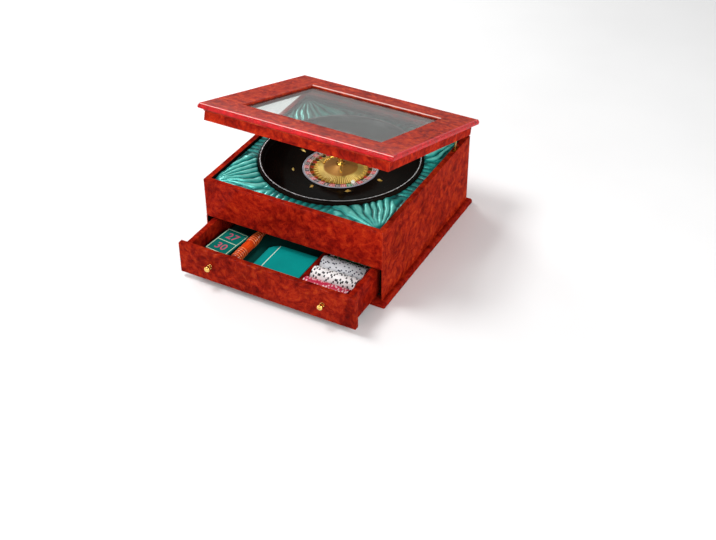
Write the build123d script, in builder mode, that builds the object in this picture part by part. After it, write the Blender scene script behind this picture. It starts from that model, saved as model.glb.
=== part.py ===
"""Roulette set case: a square wooden box with a hinged, glazed lid over a roulette wheel that sits
in a satin bed, and a drawer below it that holds the layout cloths, the rake and the chips.

Frame: origin at the centre of the case on the table, X to the right, Y to the back, Z up.
Millimetres. The lid and the drawer are drawn in their closed places, on planes that carry them
to where they stand: the lid a little open, the drawer partly out.
"""

import os
from math import asin, atan2, cos, degrees, radians, sin

from build123d import *

os.makedirs("parts", exist_ok=True)

# ---- where the moving parts stand ----
LID_OPEN = 18.0  # degrees from closed
DRAWER_OUT = 112.0  # from closed
DRAWER_TRAVEL = 250.0  # from closed to the stop block

# ---- case ----
CASE_W = 430.0
CASE_D = 428.0
CASE_TOP = 182.0  # top edge of the walls above the table
WALL = 12.5
ARRIS = 1.2  # flat taken off the sharp upright corners
EASE = 0.8  # small round on edges that a hand meets
TIP_FLAT = 1.0  # half-width of the flat at the tip of a turned piece
FELT_T = 1.0
FELT_IN = 8.0  # felt stops short of the base board's edge
BASE_T = 11.0
BASE_OUT = 11.0  # how far the base board stands out past the walls
BASE_ROUND = 7.0
BASE_CORNER = 3.0
BOTTOM_T = 4.0  # black board that the drawer slides on
DECK_T = 6.0  # board between the drawer and the wheel
LIP = 2.5  # thin edge of the side panel beside the drawer front
SLIDE = 0.3  # gap under a sliding or turning piece

# ---- drawer ----
FRONT_T = 12.0
FRONT_H = 75.0
FRONT_ROUND = 3.0  # upper edge of its face
FRONT_GAP = 1.0  # under the drawer front when it is shut
FRONT_TOP_GAP = 1.5  # over it
SIDE_GAP = 0.5  # from the drawer front's ends to the lips
DRAWER_PLAY = 2.5  # between each drawer side and the wall beside it
DRAWER_ROOM = 20.5  # behind the shut drawer
DRAWER_SIDE_T = 13.0
DRAWER_DOWN = 2.0  # sides' upper edges below the top of the drawer front
DRAWER_EASE = 2.0  # round on the upper edges of the sides and the dividers
GROOVE = 3.0
DRAWER_BOTTOM_T = 4.0
BOTTOM_UP = 0.7  # drawer bottom above the sides' lower edges
STOP_W = 60.0
STOP_L = 10.0
STOP_H = 6.0
DIVIDER_X = 60.0
DIVIDER_T = 7.0
DIVIDER_H = 39.0
DIVIDER_GAP = 0.2
CROSS_Y = 198.0  # cross divider's front face behind the drawer front's face
KNOB_X = 136.0
KNOB_R = 7.0
KNOB_OUT = 14.6
KNOB_WIDEST = 8.8  # its widest part, out from the drawer front
KNOB_NECK_R = 3.2
KNOB_NECK_OUT = 3.7
ROSE_R = 5.8
ROSE_T = 1.6
ROSE_SLOPE = 0.6
KNOB_SCREW_R = 2.0
KNOB_SCREW_HEAD_R = 4.0
KNOB_SCREW_HEAD_T = 2.0
KNOB_SCREW_ROUND = 0.7
KNOB_THREAD_L = 8.0
KNOB_THREAD_ROOM = 0.5

# ---- what the drawer holds ----
CHIP_R = 20.1
CHIP_T = 3.3
CHIP_GAP = 0.06
CHIP_ROUND = 0.3
CHIPS_IN_ROW = 31
CHIPS_SIDE = 1.0  # from the long divider to the first chip
CHIP_ROW_Y = 50.0  # first row's axis behind the drawer front's face
CHIP_ROW_PITCH = 41.0
LOWER_CLOTH = (232.0, 276.0, 24.0)
CLOTH_CORNER = 6.0
CLOTH_SIDE = 1.0
LOWER_CLOTH_X = -62.0
LOWER_CLOTH_Y = 158.0
NUMBER_CLOTH = (60.0, 90.0, 14.0)
NUMBER_CLOTH_X = -146.0
NUMBER_CLOTH_Y = 84.0
NUMBER_CLOTH_TURN = -5.5
PLAIN_CLOTH = (112.0, 112.0, 14.0)
PLAIN_CLOTH_Y = 72.0
PLAIN_CLOTH_CORNER = 30.0
RAKE_X = -98.0
RAKE_R = 12.0
RAKE_Y = 38.0
RAKE_HANDLE_L = 118.0
RAKE_WAIST = 1.2
RAKE_BUTT = 5.4  # length of the rounded butt
RAKE_BUTT_MID = (7.4, 1.4)
RAKE_SWELL = (36.0, 60.0)  # smooth bulge between the rings, from the butt
RAKE_TAPER = 84.0
RAKE_NOSE_MID = (9.6, 104.0)
RAKE_NOSE_STEP = 2.0
RAKE_SHAFT_R = 5.0
RAKE_TENON_L = 14.0
RAKE_SHAFT_L = 168.0
RAKE_HEAD_W = 110.0
RAKE_HEAD_END = 17.0  # height of the blade's ends
RAKE_HEAD_OVER = 4.0  # wood left over the shaft
RAKE_HEAD_T = 7.0

# ---- lid ----
LID_GAP = 0.6  # between the case and the closed lid
RIM_H = 20.0
TOP_T = 17.0
TOP_OUT = 11.5  # cornice past the rim
WINDOW_SIDE = 52.5  # window's edge from the rim's outside, left and right
WINDOW_FRONT = 62.0  # the same, front and back
COVE_FOOT = 1.0  # foot of the cove under the cornice, past the rim
COVE_R = 5.0
STEP_IN = 1.4  # small step in the cornice's outer face
STEP_UP = 13.0
STEP_ROUND = 1.1
TOP_ROUND = 2.6
NOSE_ROUND = 3.2
WINDOW_ROUND = 3.0
GLASS_T = 3.0
GLASS_DEPTH = 5.5  # glass below the top of the frame
GLASS_REBATE = 6.0
GLASS_GAP = 0.3
BEAD_GAP = 0.2

# ---- hinges and stay ----
HINGE_X = 120.0
HINGE_L = 50.0
KNUCKLES = 5
KNUCKLE_R = 3.0
KNUCKLE_GAP = 0.3
HINGE_OUT = 3.2  # pin behind the case's back
PIN_R = 1.5
PIN_FIT = 0.05
PIN_BALL_R = 2.4
PIN_BALL_OUT = 1.9  # ball's centre past the end of the hinge
LEAF_T = 1.2
LEAF_W = 10.0
SCREW_PITCH = 16.0
SCREW_R = 1.1
SCREW_HEAD_R = 2.3
SCREW_L = 9.0
SCREW_FIT = 0.05
PILOT_OVER = 1.0  # pilot hole past the screw's tip
SCREW_EDGE = 4.0  # screw from the end of a small plate
SCREW_SLOT = (3.7, 0.5)  # length, and width and depth, of the slot in a head
LEAF_SCREW_IN = 5.5  # hinge screws from the case's back
STAY_R = 70.0
STAY_W = 5.0
STAY_T = 2.0
STAY_ARC = 83.0
STAY_SLOT_GAP = 0.4
STAY_SLOT_END = 84.5
STAY_BEAD_T = 3.0
STAY_BEAD_ARC = 3.0
STAY_FOOT_L = 30.0
STAY_ROOT = 0.8  # degrees that the arc runs into the foot plate
FOOT_SCREW_PITCH = 10.0
PLATE_W = 8.0
PLATE_L = 26.0
KEEPER_SLOT_T = 2.4

# ---- wheel ----
WHEEL_Y = 3.0
BOWL_R = 181.5
BOWL_RIM_Z = 183.0
BOWL_RIM_W = 11.0
BOWL_ROUND = 4.0  # outer round of the rim
BOWL_ROUND_IN = 2.0
BOWL_WALL = 10.0
BELLY_IN = 8.0  # outer wall half way up, in from the rim, and how far that is above the deck
BELLY_UP = 33.0
BELLY_TOP = 12.0  # belly meets the straight rim this far below the ball track
TRACK_RUN = 4.5  # ball track's lower edge, in from the rim's inner wall
TRACK_Z = 170.0
TRACK_RISE = 4.5  # curve from the track up to the rim's inner wall
TRACK_MID = (1.4, 1.3)
WELL_R = 86.0
WELL_Z = 155.5
WELL_FLOOR_Z = 138.0
FOOT_IN = 31.5  # foot in from the rim
FOOT_W = 14.0
INLAY_IN = 4.5  # bright line in from the rim's outside
INLAY_W = 1.8
INLAY_T = 1.2
INLAY_UP = 0.3
INLAY_ROUND = 0.25
DIAMONDS = 8
DIAMOND_R = 105.0
DIAMOND_L = 15.0
DIAMOND_W = 7.0
DIAMOND_H = 3.5
DIAMOND_LIFT = 0.12
DIAMOND_TAPER = 35.0
DIAMOND_START = -8.0
SPINDLE_R = 4.0
SPINDLE_FIT = 0.05
SPINDLE_DEPTH = 11.0
SPINDLE_HEADROOM = 1.0
BOSS_R = 14.0
BOSS_H = 4.0
BEARING_R = 7.0
ROTOR_R = 84.5
ROTOR_T = 5.0
HUB_R = 12.0
HUB_H = 19.0
HUB_ROOF = 0.5
ROTOR_RIM_W = 4.0
ROTOR_RIM_H = 8.0
ROTOR_RIM_ROUND = 1.2
NUMBER_IN = 70.0
NUMBER_T = 6.0
NUMBER_RISE = 1.0
POCKETS = 37
POCKET_IN = 59.5
POCKET_T = 1.0
POCKET_TURN = -47.0  # direction of the zero
FRET_IN = 50.5
FRET_T = 0.9
FRET_H = 5.0
FRET_GAP = 0.2
RIB_T = 1.5
RIB_H = 3.2
RIB_IN = 0.3
CONE_TOP_R = 13.0
CONE_H = 15.0
CONE_EDGE = 2.0
CONE_MID = (34.0, 6.9)  # a point of the cone's hollow flank: radius, and height above its edge
CONE_FIT = 0.1
COLUMN_H = 13.0
COLUMN_R = 7.5
COLUMN_FOOT = 2.5  # step out and height of the column's foot
WAIST_R = 4.6
WAIST_UP = 7.8
COLUMN_TOP_R = 6.5
POST_R = 4.0
POST_UP = 5.0  # post above the collar, inside the finial
COLLAR_R = 8.0
COLLAR_H = 8.0
COLLAR_ROUND = 1.5
ARMS = 4
ARM_TURN = -61.0
ARM_R = 2.0
ARM_REACH = 37.0
ARM_DROP = 15.0
ARM_BALL_R = 3.6
ARM_ROOT = 2.0  # arm starts this deep in the collar
ARM_MID = (25.0, 4.2)  # a point that the arm's curve passes: radius, and drop
FINIAL_R = 6.5
FINIAL_H = 14.0
FINIAL_BASE_R = 5.5
FINIAL_BASE_H = 1.5
FINIAL_BELLY = 8.0  # height of its widest part
FINIAL_ROOM = 0.2
BALL_R = 4.7
BALL_LIFT = 0.05

# ---- satin bed ----
BED_GAP = 0.5
BED_TOP = 179.0
BED_T = 18.0
BED_BOARD_T = 4.0
BED_BOARD_GAP = 0.1
BLOCK = 30.0

# ---- heights and places that follow ----
FLOOR_Z = FELT_T + BASE_T
DRAWER_Z = FLOOR_Z + BOTTOM_T + SLIDE
FRONT_Z = FLOOR_Z + FRONT_GAP
PANEL_Z = FRONT_Z + FRONT_H + FRONT_TOP_GAP  # lower edge of the front panel
DRAWER_TOP = FRONT_Z + FRONT_H - DRAWER_DOWN
DECK_TOP = PANEL_Z + DECK_T
CONTENTS_Z = DRAWER_Z + BOTTOM_UP + DRAWER_BOTTOM_T
HALF_W = CASE_W / 2
HALF_D = CASE_D / 2
IN_W = HALF_W - WALL
IN_D = HALF_D - WALL
DRAWER_FRONT_Y = -HALF_D  # the drawer front's face when shut
DRAWER_IN_Y = DRAWER_FRONT_Y + FRONT_T
DRAWER_BACK_Y = IN_D - DRAWER_ROOM
DRAWER_L = DRAWER_BACK_Y - DRAWER_FRONT_Y
DRAWER_W = 2 * (IN_W - DRAWER_PLAY)
DRAWER_IN_W = DRAWER_W / 2 - DRAWER_SIDE_T
HINGE_Y = HALF_D + HINGE_OUT
HINGE_Z = CASE_TOP + LID_GAP / 2
LID_Z = CASE_TOP + LID_GAP
TOP_Z = LID_Z + RIM_H
WINDOW_X = HALF_W - WINDOW_SIDE
WINDOW_Y = HALF_D - WINDOW_FRONT
STAY_X = HALF_W - WALL / 2
BED_Z = BED_TOP - BED_T
RIM_IN_R = BOWL_R - BOWL_RIM_W
TRACK_R = RIM_IN_R - TRACK_RUN
INLAY_R = BOWL_R - INLAY_IN
ROTOR_Z = WELL_FLOOR_Z + BOSS_H + SLIDE
PLATE_Z = ROTOR_Z + ROTOR_T
CONE_Z = PLATE_Z + CONE_EDGE
COLUMN_Z = CONE_Z + CONE_H
COLLAR_Z = COLUMN_Z + COLUMN_H
FINIAL_Z = COLLAR_Z + COLLAR_H

# ---- frames that carry the moving parts ----
LID_SWING = Location((0, HINGE_Y, HINGE_Z)) * Rotation(-LID_OPEN, 0, 0) * Location((0, -HINGE_Y, -HINGE_Z))
DRAWER_PULL = Location((0, -DRAWER_OUT, 0))
WHEEL = Plane((0, WHEEL_Y, 0))
WHEEL_SECTION = Plane((0, WHEEL_Y, 0), x_dir=(1, 0, 0), z_dir=(0, -1, 0))
WHEEL_AXIS = Axis((0, WHEEL_Y, 0), (0, 0, 1))


def on_lid(plane):
    """A plane drawn for the closed lid, carried to the open lid."""
    return Plane(LID_SWING * plane.location)


def on_drawer(plane):
    """A plane drawn for the shut drawer, carried out with the drawer."""
    return Plane(DRAWER_PULL * plane.location)


def across(x, y, z):
    """A plane that faces along X, its own x towards the back and its own y up."""
    return Plane((x, y, z), x_dir=(0, 1, 0), z_dir=(1, 0, 0))


def upright(x, y, z, outward):
    """A plane standing on (x, y, z), its own x along outward and its own y up."""
    return Plane((x, y, z), x_dir=outward, z_dir=Vector(*outward).cross(Vector(0, 0, 1)))


# =========================== case ===========================

# Felt glued under the base board, so that the case doesn't scratch a table.
with BuildPart() as base_felt:
    with BuildSketch():
        Rectangle(CASE_W + 2 * (BASE_OUT - FELT_IN), CASE_D + 2 * (BASE_OUT - FELT_IN))
    extrude(amount=FELT_T)
base_felt.part.label = "base_felt"
export_step(base_felt.part, "parts/base_felt.step")

# Base board, wider than the case, with a rounded upper edge.
with BuildPart() as base_board:
    with BuildSketch(Plane.XY.offset(FELT_T)):
        RectangleRounded(CASE_W + 2 * BASE_OUT, CASE_D + 2 * BASE_OUT, BASE_CORNER)
    extrude(amount=BASE_T)
    fillet(base_board.faces().sort_by(Axis.Z)[-1].edges(), BASE_ROUND)
base_board.part.label = "base_board"
export_step(base_board.part, "parts/base_board.step")

# Black board between the side panels, which the drawer slides on.
with BuildPart() as case_bottom:
    with BuildSketch(Plane.XY.offset(FLOOR_Z)):
        with Locations((0, (IN_D - HALF_D + WALL) / 2)):
            Rectangle(2 * IN_W, IN_D + HALF_D - WALL)
    extrude(amount=BOTTOM_T)
case_bottom.part.label = "case_bottom"
export_step(case_bottom.part, "parts/case_bottom.step")


def leaf_recess(x, y, length, width):
    """Shallow bed for a hinge leaf or a plate in the top of a wall."""
    with BuildSketch(Plane.XY.offset(CASE_TOP)) as bed:
        with Locations((x, y)):
            Rectangle(length, width)
    extrude(bed.sketch, amount=-LEAF_T, mode=Mode.SUBTRACT)


def screw_pilots(places, plane):
    """Holes for the screw shanks, drilled from the leaf's outer face."""
    with Locations(plane):
        with Locations(*places):
            Cylinder(SCREW_R + SCREW_FIT, SCREW_L + PILOT_OVER,
                     align=(Align.CENTER, Align.CENTER, Align.MAX), mode=Mode.SUBTRACT)


# Side panels: mitred to the front panel above the drawer, square below it, where a thin lip
# covers the end of the shut drawer front. They run past the back panel's ends.
KEEPER_Y = HINGE_Y - STAY_R
KEEPER_SCREWS = [(STAY_X, KEEPER_Y + end * (PLATE_L / 2 - SCREW_EDGE)) for end in (-1, 1)]
for side, hand in (("left", -1), ("right", 1)):
    out, face = hand * HALF_W, hand * IN_W
    with BuildPart() as side_panel:
        with BuildSketch(Plane.XY.offset(FLOOR_Z)):
            Polygon((out, -HALF_D), (out, HALF_D), (face, HALF_D), (face, -HALF_D + WALL),
                    (out - hand * LIP, -HALF_D + WALL), (out - hand * LIP, -HALF_D))
        extrude(amount=PANEL_Z - FLOOR_Z)
        with BuildSketch(Plane.XY.offset(PANEL_Z)):
            Polygon((out, -HALF_D + ARRIS), (out, HALF_D), (face, HALF_D), (face, -HALF_D + WALL),
                    (out - hand * ARRIS / 2, -HALF_D + ARRIS / 2))
        extrude(amount=CASE_TOP - PANEL_Z)
        top_edges = side_panel.edges().filter_by(Axis.Y).group_by(Axis.Z)[-1]
        fillet(top_edges, EASE)
        if hand > 0:
            leaf_recess(STAY_X, KEEPER_Y, PLATE_W, PLATE_L)
            screw_pilots(KEEPER_SCREWS, Plane.XY.offset(CASE_TOP))
            with BuildSketch(across(STAY_X, HINGE_Y, HINGE_Z)):
                with BuildLine():
                    outer = CenterArc((0, 0), STAY_R + STAY_W / 2 + STAY_SLOT_GAP, 180, STAY_SLOT_END)
                    inner = CenterArc((0, 0), STAY_R - STAY_W / 2 - STAY_SLOT_GAP, 180, STAY_SLOT_END)
                    Line(outer @ 0, inner @ 0)
                    Line(outer @ 1, inner @ 1)
                make_face()
            extrude(amount=STAY_BEAD_T / 2 + STAY_SLOT_GAP, both=True, mode=Mode.SUBTRACT)
    side_panel.part.label = f"side_panel_{side}"
    export_step(side_panel.part, f"parts/side_panel_{side}.step")

# Back panel, between the side panels, with beds for the hinge leaves in its top edge.
HINGE_SCREWS = [(x + i * SCREW_PITCH, HALF_D - LEAF_SCREW_IN)
                for x in (-HINGE_X, HINGE_X) for i in (-1, 0, 1)]
with BuildPart() as back_panel:
    with BuildSketch(Plane.XY.offset(FLOOR_Z)):
        with Locations((0, HALF_D - WALL / 2)):
            Rectangle(2 * IN_W, WALL)
    extrude(amount=CASE_TOP - FLOOR_Z)
    fillet(back_panel.edges().filter_by(Axis.X).group_by(Axis.Z)[-1].sort_by(Axis.Y)[0], EASE)
    for hinge_x in (-HINGE_X, HINGE_X):
        leaf_recess(hinge_x, HALF_D - LEAF_W / 2, HINGE_L + 2 * KNUCKLE_GAP, LEAF_W)
    screw_pilots(HINGE_SCREWS, Plane.XY.offset(CASE_TOP))
back_panel.part.label = "back_panel"
export_step(back_panel.part, "parts/back_panel.step")

# Front panel over the drawer, mitred to the side panels.
with BuildPart() as front_panel:
    with BuildSketch(Plane.XY.offset(PANEL_Z)):
        Polygon((-HALF_W + ARRIS, -HALF_D), (HALF_W - ARRIS, -HALF_D),
                (HALF_W - ARRIS / 2, -HALF_D + ARRIS / 2), (IN_W, -IN_D), (-IN_W, -IN_D),
                (-HALF_W + ARRIS / 2, -HALF_D + ARRIS / 2))
    extrude(amount=CASE_TOP - PANEL_Z)
    fillet(front_panel.edges().filter_by(Axis.X).group_by(Axis.Z)[-1], EASE)
    fillet(front_panel.edges().filter_by(Axis.X).group_by(Axis.Z)[0].sort_by(Axis.Y)[0], EASE)
front_panel.part.label = "front_panel"
export_step(front_panel.part, "parts/front_panel.step")

# Deck between the walls: roof of the drawer's space and floor of the wheel's.
with BuildPart() as wheel_deck:
    with BuildSketch(Plane.XY.offset(PANEL_Z)):
        Rectangle(2 * IN_W, 2 * IN_D)
    extrude(amount=DECK_T)
wheel_deck.part.label = "wheel_deck"
export_step(wheel_deck.part, "parts/wheel_deck.step")

# Block under the deck that the drawer's back meets at the end of its travel.
STOP_BACK_Y = DRAWER_BACK_Y - DRAWER_SIDE_T - DRAWER_TRAVEL - SLIDE
with BuildPart() as drawer_stop:
    with BuildSketch(Plane.XY.offset(PANEL_Z)):
        with Locations((0, STOP_BACK_Y - STOP_L / 2)):
            Rectangle(STOP_W, STOP_L)
    extrude(amount=-STOP_H)
    chamfer(drawer_stop.faces().sort_by(Axis.Z)[0].edges(), EASE)
drawer_stop.part.label = "drawer_stop"
export_step(drawer_stop.part, "parts/drawer_stop.step")

# =========================== satin bed ===========================

# Corner blocks with a hardboard frame on them, which carries the padding round the wheel.
with BuildPart() as bed_frame:
    with BuildSketch(Plane.XY.offset(DECK_TOP)):
        with GridLocations(2 * IN_W - BLOCK, 2 * IN_D - BLOCK, 2, 2):
            Rectangle(BLOCK, BLOCK)
    extrude(amount=BED_Z - BED_BOARD_T - BED_BOARD_GAP - DECK_TOP)
    with BuildSketch(Plane.XY.offset(BED_Z - BED_BOARD_T)):
        Rectangle(2 * (IN_W - BED_GAP), 2 * (IN_D - BED_GAP))
        with Locations((0, WHEEL_Y)):
            Circle(BOWL_R + BED_GAP, mode=Mode.SUBTRACT)
    extrude(amount=BED_BOARD_T)
bed_frame.part.label = "bed_frame"
export_step(bed_frame.part, "parts/bed_frame.step")

# Padded satin on the frame.
with BuildPart() as satin_bed:
    with BuildSketch(Plane.XY.offset(BED_Z)):
        Rectangle(2 * (IN_W - BED_GAP), 2 * (IN_D - BED_GAP))
        with Locations((0, WHEEL_Y)):
            Circle(BOWL_R + BED_GAP, mode=Mode.SUBTRACT)
    extrude(amount=BED_T)
satin_bed.part.label = "satin_bed"
export_step(satin_bed.part, "parts/satin_bed.step")

# =========================== wheel bowl ===========================

APRON_RISE = (TRACK_Z - WELL_Z) / (TRACK_R - WELL_R)
APRON_TILT = degrees(atan2(TRACK_Z - WELL_Z, TRACK_R - WELL_R))
# Turned bowl: foot, outer wall, rim, ball track, sloping apron, well for the rotor and a boss.
with BuildPart() as wheel_bowl:
    with BuildSketch(WHEEL_SECTION):
        with BuildLine():
            foot_r = BOWL_R - FOOT_IN
            foot_in = foot_r - FOOT_W
            apron_under = TRACK_Z - (TRACK_R - foot_in) * APRON_RISE - BOWL_WALL
            skirt = Polyline((0, WELL_FLOOR_Z - BOWL_WALL), (WELL_R + BOWL_WALL, WELL_FLOOR_Z - BOWL_WALL),
                             (WELL_R + BOWL_WALL, WELL_Z - BOWL_WALL), (foot_in, apron_under),
                             (foot_in, DECK_TOP), (foot_r, DECK_TOP))
            belly = ThreePointArc(skirt @ 1, (BOWL_R - BELLY_IN, DECK_TOP + BELLY_UP),
                                  (BOWL_R, TRACK_Z - BELLY_TOP))
            side = Line(belly @ 1, (BOWL_R, BOWL_RIM_Z - BOWL_ROUND))
            rim_out = TangentArc(side @ 1, (BOWL_R - BOWL_ROUND, BOWL_RIM_Z), tangent=(0, 1))
            rim = Line(rim_out @ 1, (RIM_IN_R + BOWL_ROUND_IN, BOWL_RIM_Z))
            rim_in = TangentArc(rim @ 1, (RIM_IN_R, BOWL_RIM_Z - BOWL_ROUND_IN), tangent=(-1, 0))
            wall = Line(rim_in @ 1, (RIM_IN_R, TRACK_Z + TRACK_RISE))
            track = ThreePointArc(wall @ 1, (RIM_IN_R - TRACK_MID[0], TRACK_Z + TRACK_MID[1]),
                                  (TRACK_R, TRACK_Z))
            Polyline(track @ 1, (WELL_R, WELL_Z), (WELL_R, WELL_FLOOR_Z), (BOSS_R, WELL_FLOOR_Z),
                     (BOSS_R, WELL_FLOOR_Z + BOSS_H), (SPINDLE_R + SPINDLE_FIT, WELL_FLOOR_Z + BOSS_H),
                     (SPINDLE_R + SPINDLE_FIT, WELL_FLOOR_Z + BOSS_H - SPINDLE_DEPTH),
                     (0, WELL_FLOOR_Z + BOSS_H - SPINDLE_DEPTH), skirt @ 0)
        make_face()
    revolve(axis=WHEEL_AXIS)
    with BuildSketch(WHEEL.offset(BOWL_RIM_Z)):
        Circle(INLAY_R)
        Circle(INLAY_R - INLAY_W, mode=Mode.SUBTRACT)
    extrude(amount=-INLAY_T, mode=Mode.SUBTRACT)
wheel_bowl.part.label = "wheel_bowl"
export_step(wheel_bowl.part, "parts/wheel_bowl.step")

# Bright metal line let into the rim.
with BuildPart() as rim_inlay:
    with BuildSketch(WHEEL.offset(BOWL_RIM_Z - INLAY_T)):
        Circle(INLAY_R)
        Circle(INLAY_R - INLAY_W, mode=Mode.SUBTRACT)
    extrude(amount=INLAY_T + INLAY_UP)
    fillet(rim_inlay.faces().sort_by(Axis.Z)[-1].edges(), INLAY_ROUND)
rim_inlay.part.label = "rim_inlay"
export_step(rim_inlay.part, "parts/rim_inlay.step")

# Diamond deflectors on the apron, by turns along and across the ball's way.
with BuildPart() as deflectors:
    for i in range(DIAMONDS):
        turn = radians(DIAMOND_START + i * 360 / DIAMONDS)
        inward = Vector(-cos(turn), -sin(turn), 0)
        apron_z = WELL_Z + (DIAMOND_R - WELL_R) * APRON_RISE + DIAMOND_LIFT
        normal = inward * sin(radians(APRON_TILT)) + Vector(0, 0, cos(radians(APRON_TILT)))
        seat = Plane((DIAMOND_R * cos(turn), WHEEL_Y + DIAMOND_R * sin(turn), apron_z),
                     x_dir=inward * cos(radians(APRON_TILT)) - Vector(0, 0, sin(radians(APRON_TILT))),
                     z_dir=normal)
        long_in, long_across = (DIAMOND_L, DIAMOND_W) if i % 2 == 0 else (DIAMOND_W, DIAMOND_L)
        with BuildSketch(seat):
            Polygon((-long_in / 2, 0), (0, -long_across / 2), (long_in / 2, 0), (0, long_across / 2))
        extrude(amount=DIAMOND_H, taper=DIAMOND_TAPER)
deflectors.part.label = "deflectors"
export_step(deflectors.part, "parts/deflectors.step")

# Steel spindle, pressed into the boss.
SPINDLE_FOOT = WELL_FLOOR_Z + BOSS_H - SPINDLE_DEPTH
with BuildPart() as wheel_spindle:
    with BuildSketch(WHEEL.offset(SPINDLE_FOOT)):
        Circle(SPINDLE_R)
    extrude(amount=ROTOR_Z + HUB_H - SPINDLE_HEADROOM - SPINDLE_FOOT)
    chamfer(wheel_spindle.faces().sort_by(Axis.Z)[-1].edges(), EASE)
wheel_spindle.part.label = "wheel_spindle"
export_step(wheel_spindle.part, "parts/wheel_spindle.step")

# =========================== rotor ===========================

# Turned disc with a hub that holds the bearing.
with BuildPart() as rotor_disc:
    with BuildSketch(WHEEL.offset(ROTOR_Z)):
        Circle(ROTOR_R)
    extrude(amount=ROTOR_T)
    with BuildSketch(WHEEL.offset(ROTOR_Z)):
        Circle(HUB_R)
    extrude(amount=HUB_H)
    with BuildSketch(WHEEL.offset(ROTOR_Z)):
        Circle(BEARING_R)
    extrude(amount=HUB_H - HUB_ROOF, mode=Mode.SUBTRACT)
rotor_disc.part.label = "rotor_disc"
export_step(rotor_disc.part, "parts/rotor_disc.step")

# Bush in the hub; it runs on the spindle.
with BuildPart() as spindle_bearing:
    with BuildSketch(WHEEL.offset(ROTOR_Z)):
        Circle(BEARING_R)
        Circle(SPINDLE_R + SPINDLE_FIT, mode=Mode.SUBTRACT)
    extrude(amount=HUB_H - HUB_ROOF)
spindle_bearing.part.label = "spindle_bearing"
export_step(spindle_bearing.part, "parts/spindle_bearing.step")

# Polished ring round the numbers.
with BuildPart() as rotor_rim:
    with BuildSketch(WHEEL.offset(PLATE_Z)):
        Circle(ROTOR_R)
        Circle(ROTOR_R - ROTOR_RIM_W, mode=Mode.SUBTRACT)
    extrude(amount=ROTOR_RIM_H)
    fillet(rotor_rim.faces().sort_by(Axis.Z)[-1].edges(), ROTOR_RIM_ROUND)
rotor_rim.part.label = "rotor_rim"
export_step(rotor_rim.part, "parts/rotor_rim.step")

# Ring that carries the numbers, falling a little towards the pockets.
with BuildPart() as number_ring:
    with BuildSketch(WHEEL_SECTION):
        Polygon((NUMBER_IN, PLATE_Z), (ROTOR_R - ROTOR_RIM_W, PLATE_Z),
                (ROTOR_R - ROTOR_RIM_W, PLATE_Z + NUMBER_T + NUMBER_RISE), (NUMBER_IN, PLATE_Z + NUMBER_T))
    revolve(axis=WHEEL_AXIS)
number_ring.part.label = "number_ring"
export_step(number_ring.part, "parts/number_ring.step")

# Floor of the pockets.
with BuildPart() as pocket_ring:
    with BuildSketch(WHEEL.offset(PLATE_Z)):
        Circle(NUMBER_IN)
        Circle(POCKET_IN, mode=Mode.SUBTRACT)
    extrude(amount=POCKET_T)
pocket_ring.part.label = "pocket_ring"
export_step(pocket_ring.part, "parts/pocket_ring.step")

# Thin walls between the pockets.
POCKET_STEP = 360 / POCKETS
FRET_TURN = POCKET_TURN + POCKET_STEP / 2
with BuildPart() as pocket_frets:
    with BuildSketch(WHEEL.offset(PLATE_Z + POCKET_T)):
        with PolarLocations((POCKET_IN + NUMBER_IN) / 2, POCKETS, start_angle=FRET_TURN):
            Rectangle(NUMBER_IN - POCKET_IN - 2 * FRET_GAP, FRET_T)
    extrude(amount=FRET_H)
pocket_frets.part.label = "pocket_frets"
export_step(pocket_frets.part, "parts/pocket_frets.step")

# Gold cone over the hub, with low ribs that carry on the line of the pocket walls.
with BuildPart() as rotor_cone:
    with BuildSketch(WHEEL_SECTION):
        with BuildLine():
            base = Polyline((HUB_R + CONE_FIT, PLATE_Z), (POCKET_IN, PLATE_Z), (POCKET_IN, CONE_Z))
            flank = ThreePointArc(base @ 1, (CONE_MID[0], CONE_Z + CONE_MID[1]), (CONE_TOP_R, COLUMN_Z))
            Polyline(flank @ 1, (0, COLUMN_Z), (0, ROTOR_Z + HUB_H + CONE_FIT),
                     (HUB_R + CONE_FIT, ROTOR_Z + HUB_H + CONE_FIT), base @ 0)
        make_face()
    revolve(axis=WHEEL_AXIS)
    with BuildSketch(WHEEL.offset(CONE_Z)):
        with PolarLocations((POCKET_IN + FRET_IN) / 2, POCKETS, start_angle=FRET_TURN):
            Rectangle(POCKET_IN - FRET_IN - 2 * RIB_IN, RIB_T)
    extrude(amount=RIB_H)
rotor_cone.part.label = "rotor_cone"
export_step(rotor_cone.part, "parts/rotor_cone.step")

# Turned column of the turret, with a post that passes up through the arms' collar.
with BuildPart() as turret_column:
    with BuildSketch(WHEEL_SECTION):
        with BuildLine():
            foot_r = COLUMN_R + COLUMN_FOOT
            foot = Polyline((0, COLUMN_Z), (foot_r, COLUMN_Z), (foot_r, COLUMN_Z + COLUMN_FOOT / 2),
                            (COLUMN_R, COLUMN_Z + COLUMN_FOOT))
            vase = ThreePointArc(foot @ 1, (WAIST_R, COLUMN_Z + WAIST_UP), (COLUMN_TOP_R, COLLAR_Z))
            Polyline(vase @ 1, (POST_R, COLLAR_Z), (POST_R, FINIAL_Z + POST_UP), (0, FINIAL_Z + POST_UP),
                     foot @ 0)
        make_face()
    revolve(axis=WHEEL_AXIS)
turret_column.part.label = "turret_column"
export_step(turret_column.part, "parts/turret_column.step")

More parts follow.
